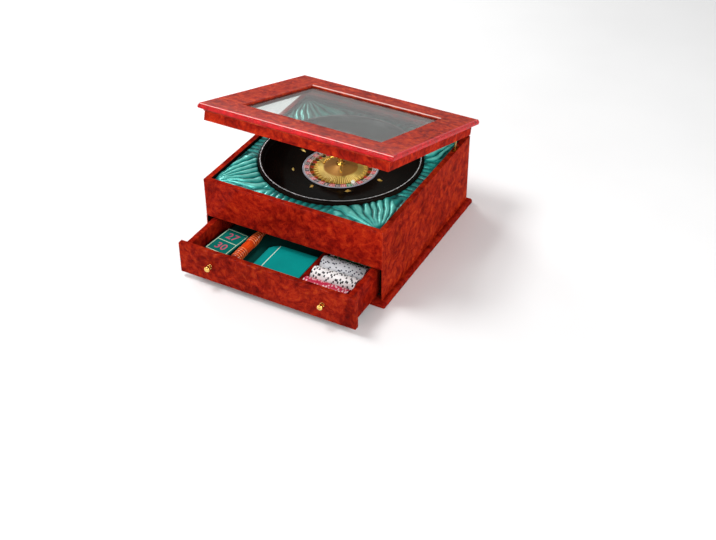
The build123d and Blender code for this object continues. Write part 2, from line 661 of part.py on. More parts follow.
# Collar with four arms that curve down to small balls, which a hand turns the wheel by.
ARM_Z = COLLAR_Z + COLLAR_H / 2
with BuildPart() as turret_arms:
    with BuildSketch(WHEEL.offset(COLLAR_Z)):
        Circle(COLLAR_R)
        Circle(POST_R + SPINDLE_FIT, mode=Mode.SUBTRACT)
    extrude(amount=COLLAR_H)
    fillet(turret_arms.edges().filter_by(GeomType.CIRCLE).sort_by(SortBy.RADIUS)[-2:], COLLAR_ROUND)
    for i in range(ARMS):
        turn = radians(ARM_TURN + i * 360 / ARMS)
        radial = upright(0, WHEEL_Y, 0, (cos(turn), sin(turn), 0))
        with BuildLine(radial):
            arm = ThreePointArc((COLLAR_R - ARM_ROOT, ARM_Z), (ARM_MID[0], ARM_Z - ARM_MID[1]),
                                (ARM_REACH, ARM_Z - ARM_DROP))
        with BuildSketch(Plane(arm @ 0, z_dir=arm % 0)):
            Circle(ARM_R)
        sweep(path=arm)
        with Locations(Plane(arm @ 1, z_dir=arm % 1)):
            Sphere(ARM_BALL_R)
turret_arms.part.label = "turret_arms"
export_step(turret_arms.part, "parts/turret_arms.step")

# Finial screwed down on the post, which clamps the arms.
with BuildPart() as turret_finial:
    with BuildSketch(WHEEL_SECTION):
        with BuildLine():
            bore = POST_R + SPINDLE_FIT
            tip = FINIAL_Z + FINIAL_H
            bore_end = FINIAL_Z + POST_UP + FINIAL_ROOM
            neck = Polyline((bore, FINIAL_Z), (FINIAL_BASE_R, FINIAL_Z),
                            (FINIAL_BASE_R, FINIAL_Z + FINIAL_BASE_H),
                            (WAIST_R, FINIAL_Z + 2 * FINIAL_BASE_H))
            knob = ThreePointArc(neck @ 1, (FINIAL_R, FINIAL_Z + FINIAL_BELLY), (TIP_FLAT, tip))
            Polyline(knob @ 1, (0, tip), (0, bore_end), (bore, bore_end), neck @ 0)
        make_face()
    revolve(axis=WHEEL_AXIS)
turret_finial.part.label = "turret_finial"
export_step(turret_finial.part, "parts/turret_finial.step")

# Ball at rest in the pocket beside the zero.
BALL_TURN = radians(POCKET_TURN + POCKET_STEP)
BALL_TRACK_R = (POCKET_IN + NUMBER_IN) / 2
with BuildPart() as ball:
    with Locations((BALL_TRACK_R * cos(BALL_TURN), WHEEL_Y + BALL_TRACK_R * sin(BALL_TURN),
                    PLATE_Z + POCKET_T + BALL_R + BALL_LIFT)):
        Sphere(BALL_R)
ball.part.label = "ball"
export_step(ball.part, "parts/ball.step")

# =========================== lid ===========================

SIDES = {"front": (0, -1, 0), "right": (1, 0, 0), "back": (0, 1, 0), "left": (-1, 0, 0)}


def frame_rail(half_w, half_d, outward, low, high, depth):
    """Keep of a length of moulding what lies between the two mitres of its side of a frame."""
    with BuildSketch(on_lid(Plane.XY.offset(low - 1))) as outline:
        if outward[1]:
            hand, tip, root = outward[1], half_d, half_d - depth[0]
            Polygon((-half_w, hand * tip), (half_w, hand * tip),
                    (half_w - depth[1], hand * root), (-half_w + depth[1], hand * root))
        else:
            hand, tip, root = outward[0], half_w, half_w - depth[1]
            Polygon((hand * tip, -half_d), (hand * tip, half_d),
                    (hand * root, half_d - depth[0]), (hand * root, -half_d + depth[0]))
    extrude(outline.sketch, amount=high - low + 2, mode=Mode.INTERSECT)


LID_SCREWS = HINGE_SCREWS
FOOT_Y = KEEPER_Y + STAY_W - STAY_FOOT_L / 2
FOOT_FRONT = FOOT_Y - STAY_FOOT_L / 2
STAY_SCREWS = [(STAY_X, FOOT_FRONT + SCREW_EDGE), (STAY_X, FOOT_FRONT + SCREW_EDGE + FOOT_SCREW_PITCH)]
LID_UNDER = on_lid(Plane.XY.offset(LID_Z))
# Plain rim under the cornice, mitred at the corners.
for side, outward in SIDES.items():
    reach = HALF_D if outward[1] else HALF_W
    with BuildPart() as lid_rim:
        place = upright(outward[0] * reach, outward[1] * reach, LID_Z, outward)
        with BuildSketch(on_lid(place)) as rim_section:
            Polygon((0, 0), (0, RIM_H), (-WALL, RIM_H), (-WALL, 0))
            fillet(rim_section.vertices().group_by(Axis.Y)[0], EASE)
        extrude(amount=CASE_W, both=True)
        frame_rail(HALF_W, HALF_D, outward, LID_Z, TOP_Z, (WALL, WALL))
        if side == "back":
            with BuildSketch(LID_UNDER):
                with Locations(*((x, HALF_D - LEAF_W / 2) for x in (-HINGE_X, HINGE_X))):
                    Rectangle(HINGE_L + 2 * KNUCKLE_GAP, LEAF_W)
            extrude(amount=LEAF_T, mode=Mode.SUBTRACT)
            with BuildSketch(LID_UNDER):
                with Locations(*LID_SCREWS):
                    Circle(SCREW_R + SCREW_FIT)
            extrude(amount=SCREW_L + PILOT_OVER, mode=Mode.SUBTRACT)
        if side == "right":
            with BuildSketch(LID_UNDER):
                with Locations((STAY_X, FOOT_Y)):
                    Rectangle(PLATE_W, STAY_FOOT_L)
            extrude(amount=LEAF_T, mode=Mode.SUBTRACT)
            with BuildSketch(LID_UNDER):
                with Locations(*STAY_SCREWS):
                    Circle(SCREW_R + SCREW_FIT)
            extrude(amount=SCREW_L + PILOT_OVER, mode=Mode.SUBTRACT)
    lid_rim.part.label = f"lid_rim_{side}"
    export_step(lid_rim.part, f"parts/lid_rim_{side}.step")

# Moulded rails of the top frame, mitred, rebated from below for the glass.
TOP_DEPTH = (WINDOW_FRONT + TOP_OUT, WINDOW_SIDE + TOP_OUT)
for side, outward in SIDES.items():
    reach, width = (HALF_D, WINDOW_FRONT) if outward[1] else (HALF_W, WINDOW_SIDE)
    rebate_h = TOP_T - GLASS_DEPTH
    with BuildPart() as top_rail:
        place = upright(outward[0] * reach, outward[1] * reach, TOP_Z, outward)
        with BuildSketch(on_lid(place)) as rail_section:
            with BuildLine():
                cove_top = (COVE_FOOT + COVE_R, COVE_R)
                cove = RadiusArc((COVE_FOOT, 0), cove_top, COVE_R)
                Polyline(cove @ 1, (TOP_OUT, COVE_R), (TOP_OUT, STEP_UP), (TOP_OUT - STEP_IN, STEP_UP),
                         (TOP_OUT - STEP_IN, TOP_T), (-width, TOP_T), (-width, rebate_h),
                         (-width + GLASS_REBATE, rebate_h), (-width + GLASS_REBATE, 0), cove @ 0)
            make_face()
            nose = rail_section.vertices().group_by(Axis.X)[-1].sort_by(Axis.Y)
            fillet(nose[0], NOSE_ROUND)
            fillet(rail_section.vertices().group_by(Axis.X)[-1].sort_by(Axis.Y)[-1], STEP_ROUND)
            fillet(rail_section.vertices().group_by(Axis.Y)[-1].sort_by(Axis.X)[-1], TOP_ROUND)
            fillet(rail_section.vertices().group_by(Axis.Y)[-1].sort_by(Axis.X)[0], WINDOW_ROUND)
        extrude(amount=CASE_W, both=True)
        frame_rail(HALF_W + TOP_OUT, HALF_D + TOP_OUT, outward, TOP_Z, TOP_Z + TOP_T, TOP_DEPTH)
    top_rail.part.label = f"top_rail_{side}"
    export_step(top_rail.part, f"parts/top_rail_{side}.step")

# Glass in the rebate.
GLASS_X = WINDOW_X + GLASS_REBATE - GLASS_GAP
GLASS_Y = WINDOW_Y + GLASS_REBATE - GLASS_GAP
GLASS_Z = TOP_Z + TOP_T - GLASS_DEPTH - GLASS_T
with BuildPart() as glass_pane:
    with BuildSketch(on_lid(Plane.XY.offset(GLASS_Z))):
        Rectangle(2 * GLASS_X, 2 * GLASS_Y)
    extrude(amount=GLASS_T)
glass_pane.part.label = "glass_pane"
export_step(glass_pane.part, "parts/glass_pane.step")

# Four beads pinned under the glass, mitred with a hair's gap.
with BuildPart() as glazing_beads:
    for outward in SIDES.values():
        hand = sum(outward)
        near, far = (GLASS_Y, GLASS_X) if outward[1] else (GLASS_X, GLASS_Y)
        run, fall = far - BEAD_GAP, GLASS_REBATE - GLASS_GAP
        outline = [(-run, hand * near), (run, hand * near),
                   (run - fall, hand * (near - fall)), (-run + fall, hand * (near - fall))]
        with BuildSketch(on_lid(Plane.XY.offset(TOP_Z))):
            Polygon(*(outline if outward[1] else [(y, x) for x, y in outline]))
        extrude(amount=GLASS_Z - TOP_Z)
glazing_beads.part.label = "glazing_beads"
export_step(glazing_beads.part, "parts/glazing_beads.step")

# =========================== hinges and stay ===========================

KNUCKLE_L = HINGE_L / KNUCKLES


def hinge_leaf(carry, tab_z, turns):
    """Two leaves with their own knuckles: carry places them, tab_z is the plate's face."""
    for hinge_x in (-HINGE_X, HINGE_X):
        with BuildSketch(carry(Plane.XY.offset(HINGE_Z + tab_z))) as plate:
            with Locations((hinge_x, HALF_D - LEAF_W / 2)):
                Rectangle(HINGE_L, LEAF_W)
            for k in turns:
                with Locations((hinge_x + (k - (KNUCKLES - 1) / 2) * KNUCKLE_L, HALF_D + HINGE_OUT / 2)):
                    Rectangle(KNUCKLE_L - KNUCKLE_GAP, HINGE_OUT)
        extrude(plate.sketch, amount=LEAF_T)
        for k in turns:
            start = hinge_x + (k - KNUCKLES / 2) * KNUCKLE_L + KNUCKLE_GAP / 2
            with BuildSketch(carry(across(start, HINGE_Y, HINGE_Z))) as barrel:
                Circle(KNUCKLE_R)
            extrude(barrel.sketch, amount=KNUCKLE_L - KNUCKLE_GAP)
        with BuildSketch(carry(across(hinge_x, HINGE_Y, HINGE_Z))) as pin_hole:
            Circle(PIN_R + PIN_FIT)
        extrude(pin_hole.sketch, amount=HINGE_L, both=True, mode=Mode.SUBTRACT)


def countersinks(plane, places):
    """Tapered holes through a plate whose outer face is the plane."""
    with Locations(plane):
        with Locations(*places):
            Cone(SCREW_R + SCREW_FIT, SCREW_HEAD_R + SCREW_FIT, LEAF_T,
                 align=(Align.CENTER, Align.CENTER, Align.MAX), mode=Mode.SUBTRACT)


def countersunk_screws(plane, places):
    """Wood screws whose heads lie level with the plane."""
    with Locations(plane):
        with Locations(*places):
            Cone(SCREW_R, SCREW_HEAD_R, LEAF_T, align=(Align.CENTER, Align.CENTER, Align.MAX))
            Cylinder(SCREW_R, SCREW_L, align=(Align.CENTER, Align.CENTER, Align.MAX))
            Box(SCREW_SLOT[0], SCREW_SLOT[1], SCREW_SLOT[1], align=(Align.CENTER, Align.CENTER, Align.MAX),
                mode=Mode.SUBTRACT)


def flipped(places):
    """The same places on a plane that faces down."""
    return [(x, -y) for x, y in places]


CASE_FACE = Plane.XY.offset(CASE_TOP)
LID_FACE = on_lid(Plane((0, 0, LID_Z), x_dir=(1, 0, 0), z_dir=(0, 0, -1)))
with BuildPart() as hinge_case_leaves:
    hinge_leaf(lambda plane: plane, -LID_GAP / 2 - LEAF_T, (0, 2, 4))
    countersinks(CASE_FACE, HINGE_SCREWS)
hinge_case_leaves.part.label = "hinge_case_leaves"
export_step(hinge_case_leaves.part, "parts/hinge_case_leaves.step")

with BuildPart() as hinge_lid_leaves:
    hinge_leaf(on_lid, LID_GAP / 2, (1, 3))
    countersinks(LID_FACE, flipped(LID_SCREWS))
hinge_lid_leaves.part.label = "hinge_lid_leaves"
export_step(hinge_lid_leaves.part, "parts/hinge_lid_leaves.step")

# Hinge pins with a ball on each end.
with BuildPart() as hinge_pins:
    for hinge_x in (-HINGE_X, HINGE_X):
        with BuildSketch(across(hinge_x, HINGE_Y, HINGE_Z)):
            Circle(PIN_R)
        ball_x = HINGE_L / 2 + PIN_BALL_OUT
        extrude(amount=ball_x, both=True)
        with Locations(*((hinge_x + end * ball_x, HINGE_Y, HINGE_Z) for end in (-1, 1))):
            Sphere(PIN_BALL_R, rotation=(0, 90, 0))
hinge_pins.part.label = "hinge_pins"
export_step(hinge_pins.part, "parts/hinge_pins.step")

# Brass plate that the stay slides through.
with BuildPart() as stay_keeper:
    with BuildSketch(Plane.XY.offset(CASE_TOP - LEAF_T)):
        with Locations((STAY_X, KEEPER_Y)):
            Rectangle(PLATE_W, PLATE_L)
            Rectangle(KEEPER_SLOT_T, STAY_W + 2 * STAY_SLOT_GAP, mode=Mode.SUBTRACT)
    extrude(amount=LEAF_T)
    countersinks(CASE_FACE, KEEPER_SCREWS)
stay_keeper.part.label = "stay_keeper"
export_step(stay_keeper.part, "parts/stay_keeper.step")

with BuildPart() as case_screws:
    countersunk_screws(CASE_FACE, HINGE_SCREWS + KEEPER_SCREWS)
case_screws.part.label = "case_screws"
export_step(case_screws.part, "parts/case_screws.step")

with BuildPart() as lid_screws:
    countersunk_screws(LID_FACE, flipped(LID_SCREWS + STAY_SCREWS))
lid_screws.part.label = "lid_screws"
export_step(lid_screws.part, "parts/lid_screws.step")

# Quadrant stay: a foot under the lid's rim and an arc about the hinge, which slides down into
# the side panel. A thicker end can't pass the keeper.
with BuildPart() as stay_quadrant:
    with BuildSketch(LID_UNDER):
        with Locations((STAY_X, FOOT_Y)):
            Rectangle(PLATE_W, STAY_FOOT_L)
    extrude(amount=LEAF_T)
    for arc_start, arc_size, thick in ((-STAY_ROOT, STAY_ARC + STAY_ROOT, STAY_T),
                                       (STAY_ARC - STAY_BEAD_ARC, STAY_BEAD_ARC, STAY_BEAD_T)):
        with BuildSketch(on_lid(across(STAY_X, HINGE_Y, HINGE_Z))):
            with BuildLine():
                outer = CenterArc((0, 0), STAY_R + STAY_W / 2, 180 + arc_start, arc_size)
                inner = CenterArc((0, 0), STAY_R - STAY_W / 2, 180 + arc_start, arc_size)
                Line(outer @ 0, inner @ 0)
                Line(outer @ 1, inner @ 1)
            make_face()
        extrude(amount=thick / 2, both=True)
    countersinks(LID_FACE, flipped(STAY_SCREWS))
stay_quadrant.part.label = "stay_quadrant"
export_step(stay_quadrant.part, "parts/stay_quadrant.step")

# =========================== drawer ===========================

FRONT_HALF = HALF_W - LIP - SIDE_GAP
BOTTOM_Z = DRAWER_Z + BOTTOM_UP
# Front board, with a groove for the bottom and holes for the knob screws.
with BuildPart() as drawer_front:
    with BuildSketch(on_drawer(Plane.XY.offset(FRONT_Z))):
        with Locations((0, DRAWER_FRONT_Y + FRONT_T / 2)):
            Rectangle(2 * FRONT_HALF, FRONT_T)
    extrude(amount=FRONT_H)
    face_edges = drawer_front.faces().sort_by(Axis.Y)[0].edges()
    fillet(face_edges.sort_by(Axis.Z)[-1], FRONT_ROUND)
    fillet(drawer_front.faces().sort_by(Axis.Y)[0].edges(), EASE)
    with BuildSketch(on_drawer(Plane.XY.offset(BOTTOM_Z))):
        with Locations((0, DRAWER_IN_Y - GROOVE / 2)):
            Rectangle(2 * (DRAWER_IN_W + GROOVE), GROOVE)
    extrude(amount=DRAWER_BOTTOM_T, mode=Mode.SUBTRACT)
    KNOB_Z = FRONT_Z + FRONT_H / 2
    KNOB_PLANE = on_drawer(Plane((0, DRAWER_IN_Y, KNOB_Z), x_dir=(1, 0, 0), z_dir=(0, -1, 0)))
    with BuildSketch(KNOB_PLANE):
        with GridLocations(2 * KNOB_X, 1, 2, 1):
            Circle(KNOB_SCREW_R + SCREW_FIT)
    extrude(amount=FRONT_T, mode=Mode.SUBTRACT)
drawer_front.part.label = "drawer_front"
export_step(drawer_front.part, "parts/drawer_front.step")

# Sides, grooved for the bottom, and the back between them.
with BuildPart() as drawer_sides:
    with BuildSketch(on_drawer(Plane.XY.offset(DRAWER_Z))):
        with Locations((0, (DRAWER_IN_Y + DRAWER_BACK_Y) / 2)):
            with GridLocations(DRAWER_W - DRAWER_SIDE_T, 1, 2, 1):
                Rectangle(DRAWER_SIDE_T, DRAWER_L - FRONT_T)
    extrude(amount=DRAWER_TOP - DRAWER_Z)
    fillet(drawer_sides.faces().group_by(Axis.Z)[-1].edges().filter_by(Axis.Y), DRAWER_EASE)
    with BuildSketch(on_drawer(Plane.XY.offset(BOTTOM_Z))):
        with Locations((0, (DRAWER_IN_Y + DRAWER_BACK_Y) / 2)):
            Rectangle(2 * (DRAWER_IN_W + GROOVE), DRAWER_L)
    extrude(amount=DRAWER_BOTTOM_T, mode=Mode.SUBTRACT)
drawer_sides.part.label = "drawer_sides"
export_step(drawer_sides.part, "parts/drawer_sides.step")

with BuildPart() as drawer_back:
    with BuildSketch(on_drawer(Plane.XY.offset(CONTENTS_Z))):
        with Locations((0, DRAWER_BACK_Y - DRAWER_SIDE_T / 2)):
            Rectangle(2 * DRAWER_IN_W, DRAWER_SIDE_T)
    extrude(amount=DRAWER_TOP - CONTENTS_Z)
drawer_back.part.label = "drawer_back"
export_step(drawer_back.part, "parts/drawer_back.step")

# Bottom board in the grooves; it runs out under the back.
with BuildPart() as drawer_bottom:
    with BuildSketch(on_drawer(Plane.XY.offset(BOTTOM_Z))):
        with Locations((0, (DRAWER_IN_Y - GROOVE + DRAWER_BACK_Y) / 2)):
            Rectangle(2 * (DRAWER_IN_W + GROOVE), DRAWER_BACK_Y - DRAWER_IN_Y + GROOVE)
    extrude(amount=DRAWER_BOTTOM_T)
drawer_bottom.part.label = "drawer_bottom"
export_step(drawer_bottom.part, "parts/drawer_bottom.step")

# Long divider beside the chips, and a cross divider behind them.
CHIPS_X = DIVIDER_X + DIVIDER_T / 2
with BuildPart() as drawer_dividers:
    with BuildSketch(on_drawer(Plane.XY.offset(CONTENTS_Z))):
        with Locations((DIVIDER_X, (DRAWER_IN_Y + DRAWER_BACK_Y - DRAWER_SIDE_T) / 2)):
            Rectangle(DIVIDER_T, DRAWER_L - FRONT_T - DRAWER_SIDE_T)
        cross_x = CHIPS_X + DIVIDER_GAP
        with Locations(((cross_x + DRAWER_IN_W) / 2, DRAWER_FRONT_Y + CROSS_Y + DIVIDER_T / 2)):
            Rectangle(DRAWER_IN_W - cross_x, DIVIDER_T)
    extrude(amount=DIVIDER_H)
    fillet(drawer_dividers.faces().group_by(Axis.Z)[-1].sort_by(SortBy.AREA)[-1].edges().filter_by(Axis.Y),
           DRAWER_EASE)
drawer_dividers.part.label = "drawer_dividers"
export_step(drawer_dividers.part, "parts/drawer_dividers.step")

# Turned brass knobs, and the screws that hold them from inside the drawer.
with BuildPart() as drawer_knobs:
    for knob_x in (-KNOB_X, KNOB_X):
        knob_axis = on_drawer(Plane((knob_x, DRAWER_FRONT_Y, KNOB_Z), x_dir=(1, 0, 0), z_dir=(0, 0, 1)))
        with BuildSketch(knob_axis):
            with BuildLine():
                rose = Polyline((0, 0), (ROSE_R, 0), (ROSE_R - ROSE_SLOPE, -ROSE_T),
                                (KNOB_NECK_R, -ROSE_T - ROSE_SLOPE), (KNOB_NECK_R, -KNOB_NECK_OUT))
                head = ThreePointArc(rose @ 1, (KNOB_R, -KNOB_WIDEST), (TIP_FLAT, -KNOB_OUT))
                Polyline(head @ 1, (0, -KNOB_OUT), rose @ 0)
            make_face()
        revolve(axis=Axis(knob_axis.origin, (0, 1, 0)))
    with BuildSketch(KNOB_PLANE.offset(FRONT_T)):
        with GridLocations(2 * KNOB_X, 1, 2, 1):
            Circle(KNOB_SCREW_R + SCREW_FIT)
    extrude(amount=KNOB_THREAD_L, mode=Mode.SUBTRACT)
drawer_knobs.part.label = "drawer_knobs"
export_step(drawer_knobs.part, "parts/drawer_knobs.step")

with BuildPart() as knob_screws:
    with BuildSketch(KNOB_PLANE):
        with GridLocations(2 * KNOB_X, 1, 2, 1):
            Circle(KNOB_SCREW_R)
    extrude(amount=FRONT_T + KNOB_THREAD_L - KNOB_THREAD_ROOM)
    with BuildSketch(KNOB_PLANE):
        with GridLocations(2 * KNOB_X, 1, 2, 1):
            Circle(KNOB_SCREW_HEAD_R)
    extrude(amount=-KNOB_SCREW_HEAD_T)
    fillet(knob_screws.faces().sort_by(Axis.Y)[-2:].edges(), KNOB_SCREW_ROUND)
knob_screws.part.label = "knob_screws"
export_step(knob_screws.part, "parts/knob_screws.step")

# =========================== what the drawer holds ===========================

# Rows of chips on edge, each row of one colour.
CHIP_PITCH = CHIP_T + CHIP_GAP
for row, colour in enumerate(("red", "white", "grey", "green")):
    axis_y = DRAWER_FRONT_Y - DRAWER_OUT + CHIP_ROW_Y + row * CHIP_ROW_PITCH
    first_x = CHIPS_X + CHIPS_SIDE + CHIP_T / 2
    places = [(first_x + i * CHIP_PITCH, axis_y, CONTENTS_Z + CHIP_R) for i in range(CHIPS_IN_ROW)]
    with BuildPart() as chips:
        with Locations(*places):
            Cylinder(CHIP_R, CHIP_T, rotation=(0, 90, 0))
        chamfer(chips.edges().filter_by(GeomType.CIRCLE), CHIP_ROUND)
    chips.part.label = f"chips_{colour}"
    export_step(chips.part, f"parts/chips_{colour}.step")

# Folded cloths: a wide one at the bottom, and two smaller ones on it with the rake between.
UPPER_Z = CONTENTS_Z + LOWER_CLOTH[2] + SLIDE
with BuildPart() as lower_cloth:
    with BuildSketch(on_drawer(Plane.XY.offset(CONTENTS_Z))):
        with Locations((LOWER_CLOTH_X, DRAWER_FRONT_Y + LOWER_CLOTH_Y)):
            RectangleRounded(LOWER_CLOTH[0], LOWER_CLOTH[1], CLOTH_CORNER)
    extrude(amount=LOWER_CLOTH[2])
lower_cloth.part.label = "lower_cloth"
export_step(lower_cloth.part, "parts/lower_cloth.step")

with BuildPart() as number_cloth:
    with BuildSketch(on_drawer(Plane.XY.offset(UPPER_Z))):
        with Locations(Location((NUMBER_CLOTH_X, DRAWER_FRONT_Y + NUMBER_CLOTH_Y), NUMBER_CLOTH_TURN)):
            Rectangle(NUMBER_CLOTH[0], NUMBER_CLOTH[1])
    extrude(amount=NUMBER_CLOTH[2])
number_cloth.part.label = "number_cloth"
export_step(number_cloth.part, "parts/number_cloth.step")

PLAIN_CLOTH_X = DIVIDER_X - DIVIDER_T / 2 - CLOTH_SIDE - PLAIN_CLOTH[0] / 2
with BuildPart() as plain_cloth:
    with BuildSketch(on_drawer(Plane.XY.offset(UPPER_Z))) as plain_outline:
        with Locations((PLAIN_CLOTH_X, DRAWER_FRONT_Y + PLAIN_CLOTH_Y)):
            Rectangle(PLAIN_CLOTH[0], PLAIN_CLOTH[1])
        fillet(plain_outline.vertices().sort_by(Axis.X)[:2].sort_by(Axis.Y)[-1], PLAIN_CLOTH_CORNER)
    extrude(amount=PLAIN_CLOTH[2])
plain_cloth.part.label = "plain_cloth"
export_step(plain_cloth.part, "parts/plain_cloth.step")

# Rake: a turned grip, a thin shaft let into it, and a blade that stands on the drawer's bottom.
RAKE_Z = UPPER_Z + RAKE_R + SLIDE
GRIP_Y = DRAWER_FRONT_Y + RAKE_Y
GRIP_PLANE = on_drawer(Plane((RAKE_X, GRIP_Y, RAKE_Z), x_dir=(1, 0, 0), z_dir=(0, 0, 1)))
RAKE_AXIS = Axis(GRIP_PLANE.origin, (0, 1, 0))
with BuildPart() as rake_handle:
    with BuildSketch(GRIP_PLANE):
        with BuildLine():
            socket_r = RAKE_SHAFT_R + SCREW_FIT
            socket_end = RAKE_HANDLE_L - RAKE_TENON_L
            middle = Line((0, 0), (TIP_FLAT, 0))
            waist_r = RAKE_R - RAKE_WAIST
            butt = ThreePointArc(middle @ 1, RAKE_BUTT_MID, (waist_r, RAKE_BUTT))
            flare = Polyline(butt @ 1, (RAKE_R, RAKE_BUTT + 2 * RAKE_WAIST), (waist_r, RAKE_SWELL[0]))
            swell = ThreePointArc(flare @ 1, (RAKE_R, sum(RAKE_SWELL) / 2), (waist_r, RAKE_SWELL[1]))
            taper = Line(swell @ 1, (waist_r, RAKE_TAPER))
            nose = ThreePointArc(taper @ 1, RAKE_NOSE_MID, (RAKE_SHAFT_R + RAKE_NOSE_STEP, RAKE_HANDLE_L))
            Polyline(nose @ 1, (socket_r, RAKE_HANDLE_L), (socket_r, socket_end), (0, socket_end),
                     middle @ 0)
        make_face()
    revolve(axis=RAKE_AXIS)
rake_handle.part.label = "rake_handle"
export_step(rake_handle.part, "parts/rake_handle.step")

SHAFT_Y = GRIP_Y + RAKE_HANDLE_L - RAKE_TENON_L
with BuildPart() as rake_shaft:
    with BuildSketch(on_drawer(Plane((RAKE_X, SHAFT_Y, RAKE_Z), x_dir=(1, 0, 0), z_dir=(0, 1, 0)))):
        Circle(RAKE_SHAFT_R)
    extrude(amount=RAKE_SHAFT_L)
rake_shaft.part.label = "rake_shaft"
export_step(rake_shaft.part, "parts/rake_shaft.step")

HEAD_Y = SHAFT_Y + RAKE_SHAFT_L - RAKE_HEAD_T
with BuildPart() as rake_head:
    head_plane = on_drawer(Plane((RAKE_X, HEAD_Y, CONTENTS_Z + SLIDE), x_dir=(-1, 0, 0), z_dir=(0, 1, 0)))
    with BuildSketch(head_plane):
        with BuildLine():
            blade = Polyline((-RAKE_HEAD_W / 2, 0), (RAKE_HEAD_W / 2, 0), (RAKE_HEAD_W / 2, RAKE_HEAD_END))
            crown = ThreePointArc(blade @ 1, (0, RAKE_Z + RAKE_SHAFT_R + RAKE_HEAD_OVER - CONTENTS_Z),
                                  (-RAKE_HEAD_W / 2, RAKE_HEAD_END))
            Line(crown @ 1, blade @ 0)
        make_face()
        with Locations((0, RAKE_Z - CONTENTS_Z - SLIDE)):
            Circle(RAKE_SHAFT_R + SCREW_FIT, mode=Mode.SUBTRACT)
    extrude(amount=RAKE_HEAD_T)
rake_head.part.label = "rake_head"
export_step(rake_head.part, "parts/rake_head.step")
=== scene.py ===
import math
import random

import bmesh
import bpy
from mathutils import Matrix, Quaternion, Vector, noise


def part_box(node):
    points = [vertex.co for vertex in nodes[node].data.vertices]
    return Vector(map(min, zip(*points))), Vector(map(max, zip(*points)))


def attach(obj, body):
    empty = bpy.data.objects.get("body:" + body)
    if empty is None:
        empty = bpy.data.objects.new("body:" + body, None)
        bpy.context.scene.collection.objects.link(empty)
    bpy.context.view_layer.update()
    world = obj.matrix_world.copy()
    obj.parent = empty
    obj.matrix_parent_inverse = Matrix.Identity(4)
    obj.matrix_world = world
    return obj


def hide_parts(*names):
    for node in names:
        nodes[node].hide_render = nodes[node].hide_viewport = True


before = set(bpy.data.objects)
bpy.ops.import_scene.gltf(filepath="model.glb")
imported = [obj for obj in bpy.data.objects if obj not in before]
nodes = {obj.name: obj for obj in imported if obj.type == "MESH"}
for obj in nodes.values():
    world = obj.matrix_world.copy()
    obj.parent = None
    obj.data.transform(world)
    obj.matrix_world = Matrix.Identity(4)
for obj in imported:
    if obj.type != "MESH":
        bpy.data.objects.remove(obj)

MM = 0.001
scene = bpy.context.scene
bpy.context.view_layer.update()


# ======== felt underside ========
# A sheet of dark green wool felt glued under the base board, so that the case doesn't
# scratch the table. The fibres lie every way, so the nap is a fine noise with no grain.

def srgb(*screen):
    """A colour named by its screen values from 0 to 255."""
    shares = (value / 255 for value in screen)
    return tuple(v / 12.92 if v < 11 / 255 else ((v + 0.055) / 1.055) ** 2.4 for v in shares)


def node_adder(tree):
    """A function that adds a shader node and joins its inputs, and its own join for later."""
    def add(kind, inputs=None, **settings):
        node = tree.nodes.new("ShaderNode" + kind)
        for key, value in settings.items():
            setattr(node, key, value)
        join(node, inputs or {})
        return node

    def join(node, inputs):
        for key, value in inputs.items():
            if isinstance(value, bpy.types.NodeSocket):
                tree.links.new(value, node.inputs[key])
            else:
                node.inputs[key].default_value = value

    add.join = join
    return add


def new_finish(name):
    """A new material, its shader, its node adder, and the piece's own coordinates in metres."""
    made = bpy.data.materials.new(name)
    made.use_nodes = True
    shader = next(n for n in made.node_tree.nodes if n.type == "BSDF_PRINCIPLED")
    add = node_adder(made.node_tree)
    return made, shader, add, add("TexCoord").outputs["Object"]


def band(add, value, *stops):
    """Colours along a value: each stop is (position, colour), or (position, how light a grey)."""
    node = add("ValToRGB", {"Fac": value})
    spots = node.color_ramp.elements
    while len(spots) < len(stops):
        spots.new(0.5)
    for spot, (at, colour) in zip(spots, stops):
        spot.position = at
        spot.color = (*(colour if isinstance(colour, tuple) else [colour] * 3), 1)
    return node.outputs["Color"]


def cloud(add, place, scale, detail=4, roughness=0.55, distortion=0.0):
    return add("TexNoise", {"Vector": place, "Scale": scale, "Detail": detail, "Roughness": roughness,
                            "Distortion": distortion}).outputs[0]


def stretched(add, place, scale, shift=(0, 0, 0), turn=(0, 0, 0)):
    """The same place with the pattern drawn out along its small scales."""
    return add("Mapping", {"Vector": place, "Scale": scale, "Location": shift, "Rotation": turn}).outputs[0]


def split(add, place):
    return add("SeparateXYZ", {"Vector": place}).outputs


def maths(add, kind, *values):
    return add("Math", dict(enumerate(values)), operation=kind).outputs[0]


def ranged(add, value, low, high, start, end, **settings):
    """A value between low and high turned into one between start and end, and held there."""
    return add("MapRange", {0: value, 1: low, 2: high, 3: start, 4: end}, **settings).outputs[0]


def mixed(add, share, a, b, how="MIX"):
    """Colour b over colour a by a share; both are sockets or plain colours."""
    a, b = ((*c, 1) if isinstance(c, tuple) and len(c) == 3 else c for c in (a, b))
    node = add("Mix", data_type="RGBA", blend_type=how)
    add.join(node, {0: share, 6: a, 7: b})
    return node.outputs[2]


def bump(add, height, depth, strength=1.0):
    return add("Bump", {"Height": height, "Distance": depth, "Strength": strength}).outputs["Normal"]


def two_tone(name, dark, light, looks, scale, detail=4, roughness=0.55, drawn=None,
             spread=(0.3, 0.7), depth=None):
    """A finish of two colours mixed by one noise, which also lifts the surface by its depth."""
    made, shader, add, place = new_finish(name)
    speck = cloud(add, stretched(add, place, drawn) if drawn else place, scale, detail, roughness)
    add.join(shader, {"Base Color": band(add, speck, (spread[0], dark), (spread[1], light)), **looks})
    if depth:
        add.join(shader, {"Normal": bump(add, speck, depth)})
    return made


def give(finish, *names):
    """Put one finish on CAD nodes."""
    for name in names:
        slots = nodes[name].data.materials
        slots.clear()
        slots.append(finish)


